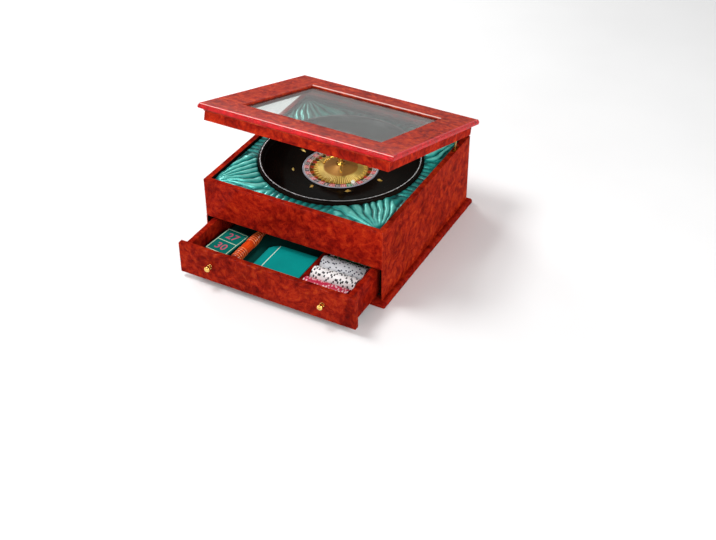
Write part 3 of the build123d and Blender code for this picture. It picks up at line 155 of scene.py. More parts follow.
def in_scene(name, data):
    made = bpy.data.objects.new(name, data)
    scene.collection.objects.link(made)
    return made


def new_piece(name, mesh, finish, body, smooth=True):
    """A modelled piece that goes with one body of the case."""
    piece = in_scene(name, mesh)
    if finish:
        mesh.materials.append(finish)
    for face in mesh.polygons:
        face.use_smooth = smooth
    if body:
        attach(piece, body)
    return piece


def plain_mesh(name, points, faces):
    mesh = bpy.data.meshes.new(name)
    mesh.from_pydata(points, [], faces)
    return mesh


def grid_mesh(name, rows, wrap_rows=False, wrap_columns=False):
    """A mesh from rows of points, each row as long as the next."""
    tall, wide = len(rows), len(rows[0])
    faces = []
    for i in range(tall if wrap_rows else tall - 1):
        for j in range(wide if wrap_columns else wide - 1):
            near, far = i * wide, (i + 1) % tall * wide
            after = (j + 1) % wide
            faces.append((near + j, near + after, far + after, far + j))
    return plain_mesh(name, [p for row in rows for p in row], faces)


def thicken(piece, thick):
    body = piece.modifiers.new("thickness", "SOLIDIFY")
    body.thickness, body.offset = thick, 0


FELT_DARK, FELT_LIGHT = srgb(12, 44, 34), srgb(30, 78, 62)
FELT_CUTS = 48  # points along each side of the sheet
felt, shader, add, place = new_finish("felt")
fibres = cloud(add, place, 2600, 5, 0.7)
patches = cloud(add, place, 60, 3)
wool = band(add, fibres, (0.3, FELT_DARK), (0.7, FELT_LIGHT))
add.join(shader, {
    "Base Color": mixed(add, patches, wool, srgb(18, 58, 45)), "Roughness": 0.95,
    "Sheen Weight": 0.5, "Sheen Roughness": 0.5, "Normal": bump(add, fibres, 0.4 * MM)})
felt_low, felt_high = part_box("base_felt")


def felt_rows():
    """The cut sheet, its edge wavering a little where the shears went."""
    rows = []
    for i in range(FELT_CUTS + 1):
        row = []
        for j in range(FELT_CUTS + 1):
            x = felt_low.x + (felt_high.x - felt_low.x) * j / FELT_CUTS
            y = felt_low.y + (felt_high.y - felt_low.y) * i / FELT_CUTS
            waver = 0.5 * MM * (1 + noise.noise(Vector((x, y, 0)) * 40))
            if i in (0, FELT_CUTS):
                y -= math.copysign(waver, y)
            if j in (0, FELT_CUTS):
                x -= math.copysign(waver, x)
            row.append((x, y, felt_high.z - 0.5 * MM))
        rows.append(row)
    return rows


felt_sheet = new_piece("felt_sheet", grid_mesh("felt", felt_rows()), felt, "case", smooth=False)
thicken(felt_sheet, 0.9 * MM)
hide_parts("base_felt")

# ======== case boards ========
# Boards veneered in mahogany burl, stained red, lacquered and rubbed down: base board with its
# rounded edge, side panels, back panel and the front panel over the drawer. Mitred and glued.
# The walls are stained black inside.

RED_DARK, RED_MID = srgb(78, 10, 8), srgb(134, 21, 13)
RED_WARM, RED_BRIGHT = srgb(170, 38, 18), srgb(202, 70, 28)
RUBBED = srgb(214, 92, 52)
NOSE_GLOSS = 0.4  # the cornice's nose is polished brighter than the flats
ARRIS_PAINTED_HIGHLIGHT = srgb(252, 214, 204)
INSIDE_BLACK = srgb(16, 10, 10)


def edge_wear(add, place, size=0.9 * MM):
    """Where a sharp edge is rubbed, from 0 to 1."""
    rounded = add("Bevel", {"Radius": size}, samples=4).outputs["Normal"]
    face = add("NewGeometry").outputs["Normal"]
    along = add("VectorMath", {0: rounded, 1: face}, operation="DOT_PRODUCT").outputs["Value"]
    near = band(add, along, (0.84, 1), (0.98, 0))
    rub = band(add, cloud(add, place, 75, 4, 0.7), (0.42, 0.15), (0.62, 1))
    return maths(add, "MULTIPLY", near, rub)


def lacquer(add, shader, place, roughness, gloss, under=0.0):
    """Polyester lacquer: a clear coat with a faint waviness left by the spray gun."""
    ripple = cloud(add, place, 90, 2)
    add.join(shader, {
        "Roughness": roughness, "Specular IOR Level": under, "Coat Weight": gloss,
        "Coat Roughness": 0.07, "Coat IOR": 1.5, "Coat Normal": bump(add, ripple, 0.05 * MM)})


def burl(name, shift, turn=(0, 0, 0), tint=(1, 1, 1), black_inside=None, nose=None, gloss=0.05):
    """Mahogany burl veneer. shift and turn pick another piece of the veneer sheet for each board."""
    made, shader, add, place = new_finish(name)
    sheet = stretched(add, place, (1, 1, 1), shift, turn)
    swirl = add("TexNoise", {"Vector": sheet, "Scale": 14, "Detail": 3}).outputs["Color"]
    bent = add("VectorMath", {0: swirl, 1: (0.05,) * 3, 2: sheet}, operation="MULTIPLY_ADD").outputs[0]
    figure = cloud(add, bent, 62, 8, 0.68, 0.35)
    tone = band(add, figure, (0.27, RED_DARK), (0.43, RED_MID), (0.57, RED_WARM), (0.78, RED_BRIGHT))
    drift = cloud(add, sheet, 17, 3, 0.6)
    drift = band(add, drift, (0.30, (0.62, 0.55, 0.55)), (0.55, 1), (0.75, (1.0, 1.12, 1.0)))
    tone = mixed(add, 1.0, tone, drift, "MULTIPLY")
    pips = add("TexVoronoi", {"Vector": bent, "Scale": 230, "Randomness": 1.0}).outputs["Distance"]
    eyes = band(add, pips, (0.06, (0.50, 0.42, 0.42)), (0.30, 1))
    where = band(add, cloud(add, sheet, 30, 3), (0.48, 0), (0.60, 0.8))
    tone = mixed(add, where, tone, mixed(add, 1.0, tone, eyes, "MULTIPLY"))
    fibre = cloud(add, stretched(add, bent, (1, 1, 0.2)), 700, 4, 0.7)
    thread = band(add, fibre, (0.3, tuple(0.82 * v for v in tint)), (0.7, tuple(1.12 * v for v in tint)))
    wood = mixed(add, 1.0, tone, thread, "MULTIPLY")
    if black_inside:
        axis, start = black_inside
        parts = split(add, place)
        spread = maths(add, "ABSOLUTE", parts[axis])
        inner = maths(add, "LESS_THAN", spread, start)
        if axis == "X":
            notch = maths(add, "LESS_THAN", spread, notch_x)
            for side, limit in (("Y", notch_y), ("Z", front_low.z)):
                notch = maths(add, "MULTIPLY", notch, maths(add, "LESS_THAN", parts[side], limit))
            inner = maths(add, "MAXIMUM", inner, notch)
        wood = mixed(add, inner, wood, INSIDE_BLACK)
    if nose:
        overhang, highlight_line = nose(add, place)
        plain = band(add, figure, (0.30, srgb(132, 6, 10)), (0.62, srgb(204, 20, 26)))
        # The second mask paints a pale line on two edges: a painted highlight.
        wood = mixed(add, highlight_line, mixed(add, overhang, wood, plain), ARRIS_PAINTED_HIGHLIGHT)
        gloss = ranged(add, overhang, 0.0, 1.0, gloss, NOSE_GLOSS)
    wear = edge_wear(add, place)
    wood = mixed(add, maths(add, "MULTIPLY", wear, 0.45), wood, RUBBED)
    add.join(shader, {"Base Color": wood})
    lacquer(add, shader, place, 0.4, gloss)
    return made


wall_low, wall_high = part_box("side_panel_right")
front_low, front_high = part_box("front_panel")
STAIN_EDGE = 0.3 * MM  # black stain stops just short of the wall's upper edge
NOTCH = 2.5 * MM  # cut beside the shut drawer front, and stained too
inside_x = ("X", wall_low.x + STAIN_EDGE)
inside_y = ("Y", STAIN_EDGE - front_high.y)
notch_x = wall_high.x - NOTCH + STAIN_EDGE
notch_y = front_high.y + STAIN_EDGE
give(burl("base_veneer", (0.31, 0.12, 0.05), tint=(0.85, 0.8, 0.8)), "base_board")
give(burl("left_veneer", (0.11, 0.73, 0.21), black_inside=inside_x), "side_panel_left")
# The right side panel is tinted warmer and lighter than the other boards: painted light, where the lamps
# fall on that side.
give(burl("right_veneer_lit", (0.52, 0.27, 0.43), tint=(0.95, 1.16, 0.95), black_inside=inside_x),
     "side_panel_right")
give(burl("back_veneer", (0.93, 0.35, 0.66), black_inside=inside_y), "back_panel")
give(burl("front_veneer", (0.07, 0.58, 0.87), tint=(0.95, 0.9, 0.9), black_inside=inside_y), "front_panel")

# ======== boards out of sight ========
# Plain fibre boards stained black: the floor that the drawer slides on, the deck under the
# wheel, the drawer's stop block and bottom, and the frame that carries the satin. Glued in.

black_board = two_tone("black_board", srgb(13, 11, 11), srgb(34, 29, 28), {"Roughness": 0.62},
                       420, 5, 0.6, (0.12, 1, 1), (0.35, 0.7), 0.15 * MM)
give(black_board, "case_bottom", "wheel_deck", "drawer_stop", "bed_frame", "drawer_bottom")

# ======== satin bed ========
# Teal polyester satin drawn over wadding on a board with a round hole. Its spare width is
# gathered into the four corners, and its edges are tucked down along the walls and the bowl.

bed_low, bed_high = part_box("satin_bed")
bowl_low, bowl_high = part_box("wheel_bowl")
bowl_y = (bowl_low.y + bowl_high.y) / 2
bowl_r = (bowl_high.x - bowl_low.x) / 2
BED_SPOKES = 600
BED_RINGS = 30
TUCK_R = bowl_r + 0.7 * MM
TUCK_WALL = 0.5 * MM
BED_GAP = 0.3 * MM  # kept clear under and over the pad
ROLL = 2.4 * MM  # how quickly the satin rises from a tucked edge
EDGE_RISE = 0.90  # the tucked edge's height, as a share of the crown's
CROWN = bed_high.z - bed_low.z - 3.2 * MM
FOLDS_IN_CORNER = 8
FOLD_DEPTH = 6.5 * MM
FOLD_FROM, FOLD_FULL = 6 * MM, 34 * MM  # where folds start by a corner, and are full
PLEAT = 15 * MM  # from one pleat to the next where the bed is narrow
PLEAT_DEPTH = 2.4 * MM
PLEATS_TO, FOLDS_FROM = 0.18, 0.50  # shares of the way out to the walls
FOLD_SHADE_DEPTH = 9 * MM  # satin this far below its crown is painted darker, as painted shade in the folds
SATIN_FRAMES = 12
SATIN_TRAVEL = 1.3 * MM  # the farthest that a point may swell
SATIN_CLOTH = {  # it is cut a little wider than the frame, so it shrinks by less than nothing
    "quality": 5, "mass": 0.2, "tension_stiffness": 10, "compression_stiffness": 10,
    "shear_stiffness": 3, "bending_stiffness": 0.05, "shrink_min": -0.03, "shrink_max": -0.03,
    "vertex_group_mass": "held", "use_pressure": True, "uniform_pressure_force": 2}
half_x = bed_high.x - TUCK_WALL
half_y = (bed_high.y - bed_low.y) / 2 - TUCK_WALL


def wall_reach(turn):
    """Distance from the wheel's centre to the wall in one direction."""
    c, s = math.cos(turn), math.sin(turn)
    reach_x = half_x / abs(c) if abs(c) > 1e-6 else 9
    edge_y = (half_y - bowl_y) if s > 0 else (half_y + bowl_y)
    reach_y = edge_y / abs(s) if abs(s) > 1e-6 else 9
    return min(reach_x, reach_y)


def ease(value, low, high):
    t = min(1.0, max(0.0, (value - low) / (high - low)))
    return t * t * (3 - 2 * t)


def fold_height(x, y):
    """Folds that fan out from the nearest corner towards the bowl, and pleats along the walls."""
    here = Vector((x, y, 0))
    corner = Vector((math.copysign(half_x, x), math.copysign(half_y, y), 0))
    away = here - corner
    fan = math.atan2(abs(away.y), abs(away.x)) / (math.pi / 2)
    seed = Vector((math.copysign(3.1, x), math.copysign(5.7, y), 0))
    wander = 0.55 * noise.noise(here * 13 + seed) + 0.16 * noise.noise(here * 42 + seed)
    wave = math.sin(math.pi * FOLDS_IN_CORNER * fan + 5.0 * wander)
    ridge = 1 - abs(wave) ** 0.6
    strength = ease(away.length, FOLD_FROM, FOLD_FULL) * (0.75 + 0.5 * noise.noise(here * 21 + seed))
    fine = noise.noise(Vector((x, y, 0.4)) * 60 + seed)
    in_corner = FOLD_DEPTH * strength * (0.35 - 1.25 * ridge) + 0.8 * MM * fine
    along = x if half_y - abs(y) < half_x - abs(x) else y
    pleat = math.sin(2 * math.pi * along / PLEAT + 3.5 * noise.noise(here * 15))
    in_narrow = PLEAT_DEPTH * (pleat - 1) * 0.5 * (0.7 + 0.6 * noise.noise(here * 33))
    share = ease(min(abs(x) / half_x, abs(y) / half_y), PLEATS_TO, FOLDS_FROM)
    return share * in_corner + (1 - share) * in_narrow


def satin_rows():
    """Closed pad, ring by ring: bottom edge by the bowl, folded top, bottom edge by the wall."""
    rows = []
    base = bed_low.z + BED_GAP
    for i in range(BED_SPOKES):
        turn = 2 * math.pi * i / BED_SPOKES
        c, s = math.cos(turn), math.sin(turn)
        far = wall_reach(turn)
        row = [(TUCK_R * c, bowl_y + TUCK_R * s, base)]
        for j in range(BED_RINGS + 1):
            t = j / BED_RINGS
            t -= 0.10 * math.sin(2 * math.pi * t)
            r = TUCK_R + (far - TUCK_R) * t
            x, y = r * c, bowl_y + r * s
            edge = max(0.0, min(r - TUCK_R, half_x - abs(x), half_y - abs(y)))
            rise = 1 - math.exp(-edge / ROLL)
            crown = CROWN * (EDGE_RISE + (1 - EDGE_RISE) * rise)
            z = bed_low.z + crown + fold_height(x, y) * (0.25 + 0.75 * rise)
            row.append((x, y, min(z, bed_high.z - BED_GAP)))
        row.append((far * c, bowl_y + far * s, base))
        rows.append(row)
    return rows


def puff(piece, held):
    """Let wadding swell the satin by simulation. held lists the points that are tucked fast."""
    group = piece.vertex_groups.new(name="held")
    group.add(held, 1.0, "REPLACE")
    before = [v.co.copy() for v in piece.data.vertices]
    cloth = piece.modifiers.new("puff", "CLOTH")
    for key, value in SATIN_CLOTH.items():
        setattr(cloth.settings, key, value)
    cloth.settings.effector_weights.gravity = 0
    cloth.collision_settings.use_collision = False
    cloth.collision_settings.use_self_collision = False
    cloth.point_cache.frame_start = 1
    cloth.point_cache.frame_end = SATIN_FRAMES
    for at in range(1, SATIN_FRAMES + 1):
        scene.frame_set(at)
    settled = piece.evaluated_get(bpy.context.evaluated_depsgraph_get()).to_mesh()
    after = [v.co.copy() for v in settled.vertices]
    piece.modifiers.remove(cloth)
    piece.vertex_groups.remove(group)
    for vertex, old, new in zip(piece.data.vertices, before, after):
        moved = new - old
        if moved.length > SATIN_TRAVEL:
            moved *= SATIN_TRAVEL / moved.length
        vertex.co = old + moved
    scene.frame_set(1)


# The satin's colour is painted dark deep in the folds and at the tucked edges, and pale on the ridges:
# painted shade and painted highlight.
SATIN_PAINTED_SHADE, SATIN_PAINTED_HALF_SHADE = srgb(0, 46, 48), srgb(0, 92, 90)
SATIN_MID, SATIN_PAINTED_HIGHLIGHT = srgb(20, 150, 142), srgb(108, 212, 200)
satin, shader, add, place = new_finish("satin")
weave = cloud(add, stretched(add, place, (1, 0.15, 1)), 3200, 3, 0.6)
tint = cloud(add, place, 34, 3)
fold_shade_share = add("Attribute", attribute_name="fold_shade_share").outputs["Fac"]
tone_and_fold_shade = maths(add, "MULTIPLY_ADD", maths(add, "SUBTRACT", tint, 0.5), 0.55, fold_shade_share)
cloth = band(add, tone_and_fold_shade, (0.22, SATIN_PAINTED_SHADE), (0.46, SATIN_PAINTED_HALF_SHADE), (0.70, SATIN_MID), (0.95, SATIN_PAINTED_HIGHLIGHT))
gleam = band(add, weave, (0.3, 0.30), (0.7, 0.42))
add.join(shader, {
    "Base Color": cloth, "Metallic": 0.35, "Roughness": gleam, "Sheen Weight": 0.3,
    "Sheen Roughness": 0.35, "Sheen Tint": (*srgb(120, 225, 212), 1),
    "Normal": bump(add, weave, 0.03 * MM)})
satin_mesh = grid_mesh("satin", satin_rows(), wrap_rows=True, wrap_columns=True)
satin_pad = new_piece("satin_padding", satin_mesh, satin, "case")
row_size = BED_RINGS + 3
edges = (0, 1, row_size - 2, row_size - 1)
puff(satin_pad, [i * row_size + j for i in range(BED_SPOKES) for j in edges])
# Each point's share of painted light: 0 in a fold's hollow and at the tucked edges, 1 at the crown.
shade_shares = satin_pad.data.attributes.new("fold_shade_share", "FLOAT", "POINT")
for i, point in enumerate(satin_pad.data.vertices):
    point.co.z = min(max(point.co.z, bed_low.z + BED_GAP), bed_high.z - 0.2 * MM)
    point.co.x = min(max(point.co.x, -half_x), half_x)
    point.co.y = min(max(point.co.y, -half_y), half_y)
    above = point.co.z - (bed_high.z - FOLD_SHADE_DEPTH)
    on_top = 0 < i % row_size < row_size - 1
    shade_shares.data[i].value = min(1.0, max(0.0, above / FOLD_SHADE_DEPTH)) if on_top else 0.0
rounder = satin_pad.modifiers.new("smooth", "SUBSURF")
rounder.levels = rounder.render_levels = 1
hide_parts("satin_bed")

# ======== wheel bowl ========
# Turned wooden bowl, stained nearly black and lacquered, with a thin tin line let into its
# rim and eight small gilt diamonds pinned to the slope. The lathe leaves faint rings.

BOWL_DARK, BOWL_MID, BOWL_LIGHT = srgb(9, 6, 5), srgb(20, 13, 10), srgb(38, 24, 16)


def off_line(add, parts, **line):
    """Distance from a straight line along one axis, given its places on the other two."""
    gaps = {axis: maths(add, "SUBTRACT", parts[axis], at) for axis, at in line.items()}
    flat = add("CombineXYZ", gaps).outputs[0]
    return add("VectorMath", {0: flat}, operation="LENGTH").outputs["Value"]


def about_wheel(add, place):
    """Distance from the wheel's axis, and the direction round it as an angle."""
    parts = split(add, place)
    beyond = maths(add, "SUBTRACT", parts["Y"], bowl_y)
    return off_line(add, parts, X=0.0, Y=bowl_y), maths(add, "ARCTAN2", beyond, parts["X"])


def lines(add, value, scale, detail=3):
    """Fine lines that follow one value, such as a distance or an angle."""
    return add("TexNoise", {"W": value, "Scale": scale, "Detail": detail}, noise_dimensions="1D").outputs[0]


bowl_lacquer, shader, add, place = new_finish("bowl_lacquer")
away, turn = about_wheel(add, place)
rings = lines(add, away, 900, 4)
smoke = cloud(add, place, 14, 3)
grain = band(add, rings, (0.3, BOWL_DARK), (0.55, BOWL_MID), (0.8, BOWL_LIGHT))
smoked = band(add, smoke, (0.4, 0), (0.65, 0.7))
add.join(shader, {"Base Color": mixed(add, smoked, grain, BOWL_DARK), "Normal": bump(add, rings, 0.02 * MM)})
lacquer(add, shader, place, 0.5, 0.07)
give(bowl_lacquer, "wheel_bowl")


def dull_metal(name, dark, light, metal):
    """Tin or zinc left as it was turned, a little spotted by age."""
    made, shader, add, place = new_finish(name)
    away, turn = about_wheel(add, place)
    spots = cloud(add, place, 160, 3)
    add.join(shader, {
        "Base Color": band(add, spots, (0.35, dark), (0.6, light)), "Metallic": metal,
        "Roughness": 0.4, "Normal": bump(add, lines(add, away, 1400), 0.02 * MM)})
    return made


# The tin line's pale colour is also a painted highlight: it shows the shine along the rim's edge under any
# light.
give(dull_metal("inlay_tin_highlight", srgb(160, 158, 158), srgb(222, 222, 224), 0.5), "rim_inlay")
give(dull_metal("rim_zinc", srgb(136, 132, 144), srgb(178, 174, 190), 0.4), "rotor_rim")
spindle_steel, shader, add, place = new_finish("spindle_steel")
away, turn = about_wheel(add, place)
marks = lines(add, away, 1400)
tarnish = band(add, cloud(add, place, 120, 4), (0.45, 0), (0.7, 0.6))
bright = band(add, marks, (0.3, srgb(120, 122, 128)), (0.7, srgb(190, 192, 198)))
add.join(shader, {
    "Base Color": mixed(add, tarnish, bright, srgb(120, 122, 128)), "Metallic": 1.0,
    "Roughness": band(add, marks, (0.3, 0.2), (0.7, 0.4)),
    "Normal": bump(add, marks, 0.02 * MM)})
give(spindle_steel, "wheel_spindle")

GOLD_DEEP, GOLD_MID, GOLD_PALE = srgb(150, 104, 36), srgb(206, 158, 66), srgb(246, 216, 132)


def gold(name, dark, light, rough=(0.16, 0.34), scale=260):
    """Gilt or polished brass: small cloudy tarnish, brighter where hands and cloths rub it."""
    made, shader, add, place = new_finish(name)
    tarnish = cloud(add, place, scale, 5, 0.6)
    scuffs = cloud(add, stretched(add, place, (1, 1, 6)), scale * 4, 3)
    wear = edge_wear(add, place, 0.4 * MM)
    colour = band(add, tarnish, (0.35, dark), (0.6, light))
    add.join(shader, {
        "Base Color": mixed(add, wear, colour, GOLD_PALE), "Metallic": 1.0,
        "Roughness": band(add, tarnish, (0.35, rough[1]), (0.65, rough[0])),
        "Normal": bump(add, scuffs, 0.02 * MM)})
    return made


give(gold("diamond_gilt", GOLD_MID, GOLD_PALE, rough=(0.25, 0.45)), "deflectors")

# ======== rotor ========
# A black disc that turns on a brass bush over the steel spindle, with a dull zinc rim. The
# number ring, the pocket ring and the cone are pressed on to it.

rotor_black, shader, add, place = new_finish("rotor_black")
away, turn = about_wheel(add, place)
rings = lines(add, away, 1200)
add.join(shader, {
    "Base Color": band(add, rings, (0.3, srgb(12, 12, 13)), (0.7, srgb(34, 33, 34))),
    "Roughness": band(add, rings, (0.3, 0.32), (0.7, 0.5))})
give(rotor_black, "rotor_disc")
brass = gold("brass", GOLD_DEEP, GOLD_MID)
give(brass, "spindle_bearing")

# ======== number ring ========
# Enamelled metal ring with 37 plates, by turns red and black and one green, parted by pale
# lines. The pale numerals, in the usual single-zero order, stand a hair proud of the enamel.

WHEEL_ORDER = (0, 32, 15, 19, 4, 21, 2, 25, 17, 34, 6, 27, 13, 36, 11, 30, 8, 23, 10,
               5, 24, 16, 33, 1, 20, 14, 31, 9, 22, 18, 29, 7, 28, 12, 35, 3, 26)
POCKETS = len(WHEEL_ORDER)
ZERO_AT = math.radians(-47)
PLATE_RED, PLATE_BLACK, PLATE_GREEN = srgb(206, 36, 66), srgb(30, 14, 44), srgb(10, 138, 80)
PLATE_LINE = srgb(236, 214, 196)
LINE_SHARE = 0.03  # of a plate's width, at each of its sides
ring_low, ring_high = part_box("number_ring")
pockets_low, pockets_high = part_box("pocket_ring")
ring_r = (ring_high.x - ring_low.x) / 2
ring_inner_r = (pockets_high.x - pockets_low.x) / 2
NUMERAL_H, NUMERAL_T = 6.6 * MM, 0.16 * MM
NUMERAL_UP = 0.06 * MM  # its middle above the enamel
NUMERAL_NARROW = 0.92
PLATE_BORDER = 0.9 * MM  # pale line along the ring's inner and outer edge
numeral_r = (ring_r + ring_inner_r) / 2


def enamel(name, bright, lines_at=None):
    """Red, black and green plates round the wheel, as bright as new at 1."""
    made, shader, add, place = new_finish(name)
    away, turn = about_wheel(add, place)
    turned = maths(add, "SUBTRACT", ZERO_AT, turn)
    turned = maths(add, "MULTIPLY_ADD", turned, 1 / (2 * math.pi), 0.5 / POCKETS)
    plate = maths(add, "MULTIPLY", maths(add, "FRACT", turned), float(POCKETS))
    number, within = maths(add, "FLOOR", plate), maths(add, "FRACT", plate)
    odd = maths(add, "MODULO", number, 2.0)
    colour = mixed(add, odd, PLATE_BLACK, PLATE_RED)
    colour = mixed(add, maths(add, "LESS_THAN", number, 0.5), colour, PLATE_GREEN)
    mottle = cloud(add, place, 500, 3)
    aged = band(add, mottle, (0.3, bright * 0.8), (0.7, bright))
    colour = mixed(add, 1.0, colour, aged, "MULTIPLY")
    if lines_at:
        inside, outside = lines_at
        side = maths(add, "ABSOLUTE", maths(add, "SUBTRACT", within, 0.5))
        border = maths(add, "GREATER_THAN", side, 0.5 - LINE_SHARE)
        border = maths(add, "MAXIMUM", border, maths(add, "LESS_THAN", away, inside))
        border = maths(add, "MAXIMUM", border, maths(add, "GREATER_THAN", away, outside))
        colour = mixed(add, border, colour, PLATE_LINE)
    add.join(shader, {
        "Base Color": colour, "Roughness": 0.4, "Coat Weight": 0.3, "Coat Roughness": 0.15,
        "Normal": bump(add, mottle, 0.03 * MM)})
    return made


give(enamel("number_enamel", 1.0, (ring_inner_r + PLATE_BORDER, ring_r - PLATE_BORDER)), "number_ring")


def height_of(name, x, y):
    """Height of a piece's upper surface under a point, or None beside it."""
    hit, spot, *_ = bpy.data.objects[name].ray_cast(Vector((x, y, 0.3)), Vector((0, 0, -1)))
    return spot.z if hit else None


def lettering(words, tall, thick):
    """Points and faces of a word, centred, with its baseline along X."""
    curve = bpy.data.curves.new("word", "FONT")
    curve.body = words
    curve.align_x, curve.align_y = "CENTER", "CENTER"
    curve.size = tall * 1.36
    curve.extrude = thick / 2
    curve.offset = tall * 0.01
    curve.resolution_u = 3
    item = in_scene("word", curve)
    bpy.context.view_layer.update()
    shape = bpy.data.meshes.new_from_object(item.evaluated_get(bpy.context.evaluated_depsgraph_get()))
    points = [v.co.copy() for v in shape.vertices]
    faces = [tuple(p.vertices) for p in shape.polygons]
    bpy.data.objects.remove(item)
    bpy.data.curves.remove(curve)
    bpy.data.meshes.remove(shape)
    middle = (min(p.x for p in points) + max(p.x for p in points)) / 2
    centre = (min(p.y for p in points) + max(p.y for p in points)) / 2
    return [p - Vector((middle, centre, 0)) for p in points], faces


bpy.context.view_layer.update()
inner_try, outer_try = ring_inner_r + 1.5 * MM, ring_r - 1.5 * MM
ring_inner_z = height_of("number_ring", inner_try, bowl_y)
ring_outer_z = height_of("number_ring", outer_try, bowl_y)
ring_rise = (ring_outer_z - ring_inner_z) / (outer_try - inner_try)
numeral_points, numeral_faces = [], []
for k, number in enumerate(WHEEL_ORDER):
    at = ZERO_AT - 2 * math.pi * k / POCKETS
    outward = Vector((math.cos(at), math.sin(at), 0))
    along = Vector((math.sin(at), -math.cos(at), 0))
    word, word_faces = lettering(str(number), NUMERAL_H, NUMERAL_T)
    first = len(numeral_points)
    for p in word:
        spot = outward * (numeral_r + p.y) + along * p.x * NUMERAL_NARROW
        lift = ring_inner_z + (spot.length - inner_try) * ring_rise + NUMERAL_UP
        numeral_points.append((spot.x, spot.y + bowl_y, lift + p.z))
    numeral_faces += [tuple(first + v for v in f) for f in word_faces]
numeral_paint = two_tone("numeral_paint", srgb(232, 196, 190), srgb(252, 236, 230),
                         {"Roughness": 0.4}, 900, 3, spread=(0.35, 0.65))
new_piece("numerals", plain_mesh("numerals", numeral_points, numeral_faces), numeral_paint, "rotor",
          smooth=False)

# ======== pocket ring ========
# Ring of 37 pockets, enamelled in their number's colour, and parted by upright gilt frets.

give(enamel("pocket_enamel", 0.95), "pocket_ring")
give(gold("fret_gilt", GOLD_MID, GOLD_PALE, rough=(0.2, 0.35)), "pocket_frets")

# ======== cone and turret ========
# Spun brass cone with a band of fine pressed rays round its foot, and on it a turned brass
# turret with a collar, four bent arms tipped with balls, and a finial. All polished.

RAYS = 74.0  # pressed round the cone's foot
cone_gilt, shader, add, place = new_finish("cone_gilt")
away, turn = about_wheel(add, place)
cone_low, cone_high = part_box("rotor_cone")
cone_r = (cone_high.x - cone_low.x) / 2
rays = maths(add, "SINE", maths(add, "MULTIPLY", turn, RAYS))
# The rays are painted dark and pale gold by turns: painted shade and painted highlight on their sides.
ray_painted_shading = ranged(add, rays, -1.0, 1.0, 0.0, 1.0)
ray_painted_shading = band(add, ray_painted_shading, (0.25, srgb(160, 114, 38)), (0.6, srgb(234, 200, 108)))
streaks = lines(add, turn, 60, 4)
rings = lines(add, away, 1000)
spun = band(add, rings, (0.3, srgb(152, 98, 40)), (0.7, srgb(206, 148, 70)))
spun = mixed(add, band(add, streaks, (0.4, 0), (0.65, 0.6)), spun, srgb(140, 84, 34))
foot = band(add, maths(add, "MULTIPLY", away, 1 / cone_r), (0.62, 0), (0.66, 1))
add.join(shader, {
    "Base Color": mixed(add, foot, spun, ray_painted_shading), "Metallic": 0.55,
    "Roughness": band(add, rings, (0.3, 0.28), (0.7, 0.45)),
    "Normal": bump(add, maths(add, "MULTIPLY", rays, foot), 0.35 * MM)})
give(cone_gilt, "rotor_cone")
give(gold("turret_brass", srgb(170, 116, 40), srgb(232, 184, 88), rough=(0.08, 0.2)),
     "turret_column", "turret_arms", "turret_finial")

# ======== ball ========
# Cast white resin ball, lying loose in a pocket beside the zero.

give(two_tone("ball_white", srgb(224, 220, 208), srgb(250, 248, 240),
              {"Roughness": 0.22, "Coat Weight": 0.6, "Coat Roughness": 0.05},
              380, spread=(0.35, 0.65), depth=0.01 * MM), "ball")

# ======== lid frame ========
# Four plain rim pieces under four moulded top rails, mitred and glued, in the same veneer. The
# rails' nose is polished. A pale line painted along the front nose's upper edge and the window's
# back edge is a painted highlight. Loose black beads hold the glass in its rebate.

RIM_TINT = (1.16, 1.20, 1.0)
# The top rails are tinted paler than the rims: a painted sheen, for the lacquer's reflection on the lid's
# top.
RAIL_SHEEN_TINT = (1.14, 1.70, 1.4)
LID_OPEN = math.radians(18)
NOSE_START = 5 * MM  # how far out from the case's walls the plain moulding begins
ARRIS = (-224.4 * MM, 218.6 * MM)  # (y, z) of the front nose's upper edge with the lid shut
WINDOW_EDGE = (152.9 * MM, 218.7 * MM)  # (y, z) of the window's back edge with the lid shut
WINDOW_X = 163 * MM
pin_low, pin_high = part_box("hinge_pins")
hinge_y, hinge_z = (pin_low.y + pin_high.y) / 2, (pin_low.z + pin_high.z) / 2
back_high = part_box("back_panel")[1]


def cornice_nose(add, place):
    """Two masks: the rounded nose that overhangs the case, and a painted highlight along two edges."""
    back = Vector((0, hinge_y, hinge_z))
    back = back - Quaternion((1, 0, 0), LID_OPEN) @ back
    shut = stretched(add, place, (1, 1, 1), back, (LID_OPEN, 0, 0))
    parts = split(add, shut)
    across = maths(add, "ABSOLUTE", parts["X"])
    out_x = maths(add, "SUBTRACT", across, wall_high.x + NOSE_START)
    out_y = maths(add, "SUBTRACT", maths(add, "ABSOLUTE", parts["Y"]), back_high.y + NOSE_START)
    nose = ranged(add, maths(add, "MAXIMUM", out_x, out_y), 0.0, 1 * MM, 0.0, 1.0)
    highlight_lines = []
    for (y, z), size, strength in ((ARRIS, 1.0 * MM, 0.85), (WINDOW_EDGE, 1.4 * MM, 0.65)):
        away = off_line(add, parts, Y=y, Z=z)
        highlight_lines.append(ranged(add, away, 0.6 * size, 1.2 * size, strength, 0.0))
    highlight_lines[1] = maths(add, "MULTIPLY", highlight_lines[1], maths(add, "LESS_THAN", across, WINDOW_X))
    return nose, maths(add, "MAXIMUM", *highlight_lines)


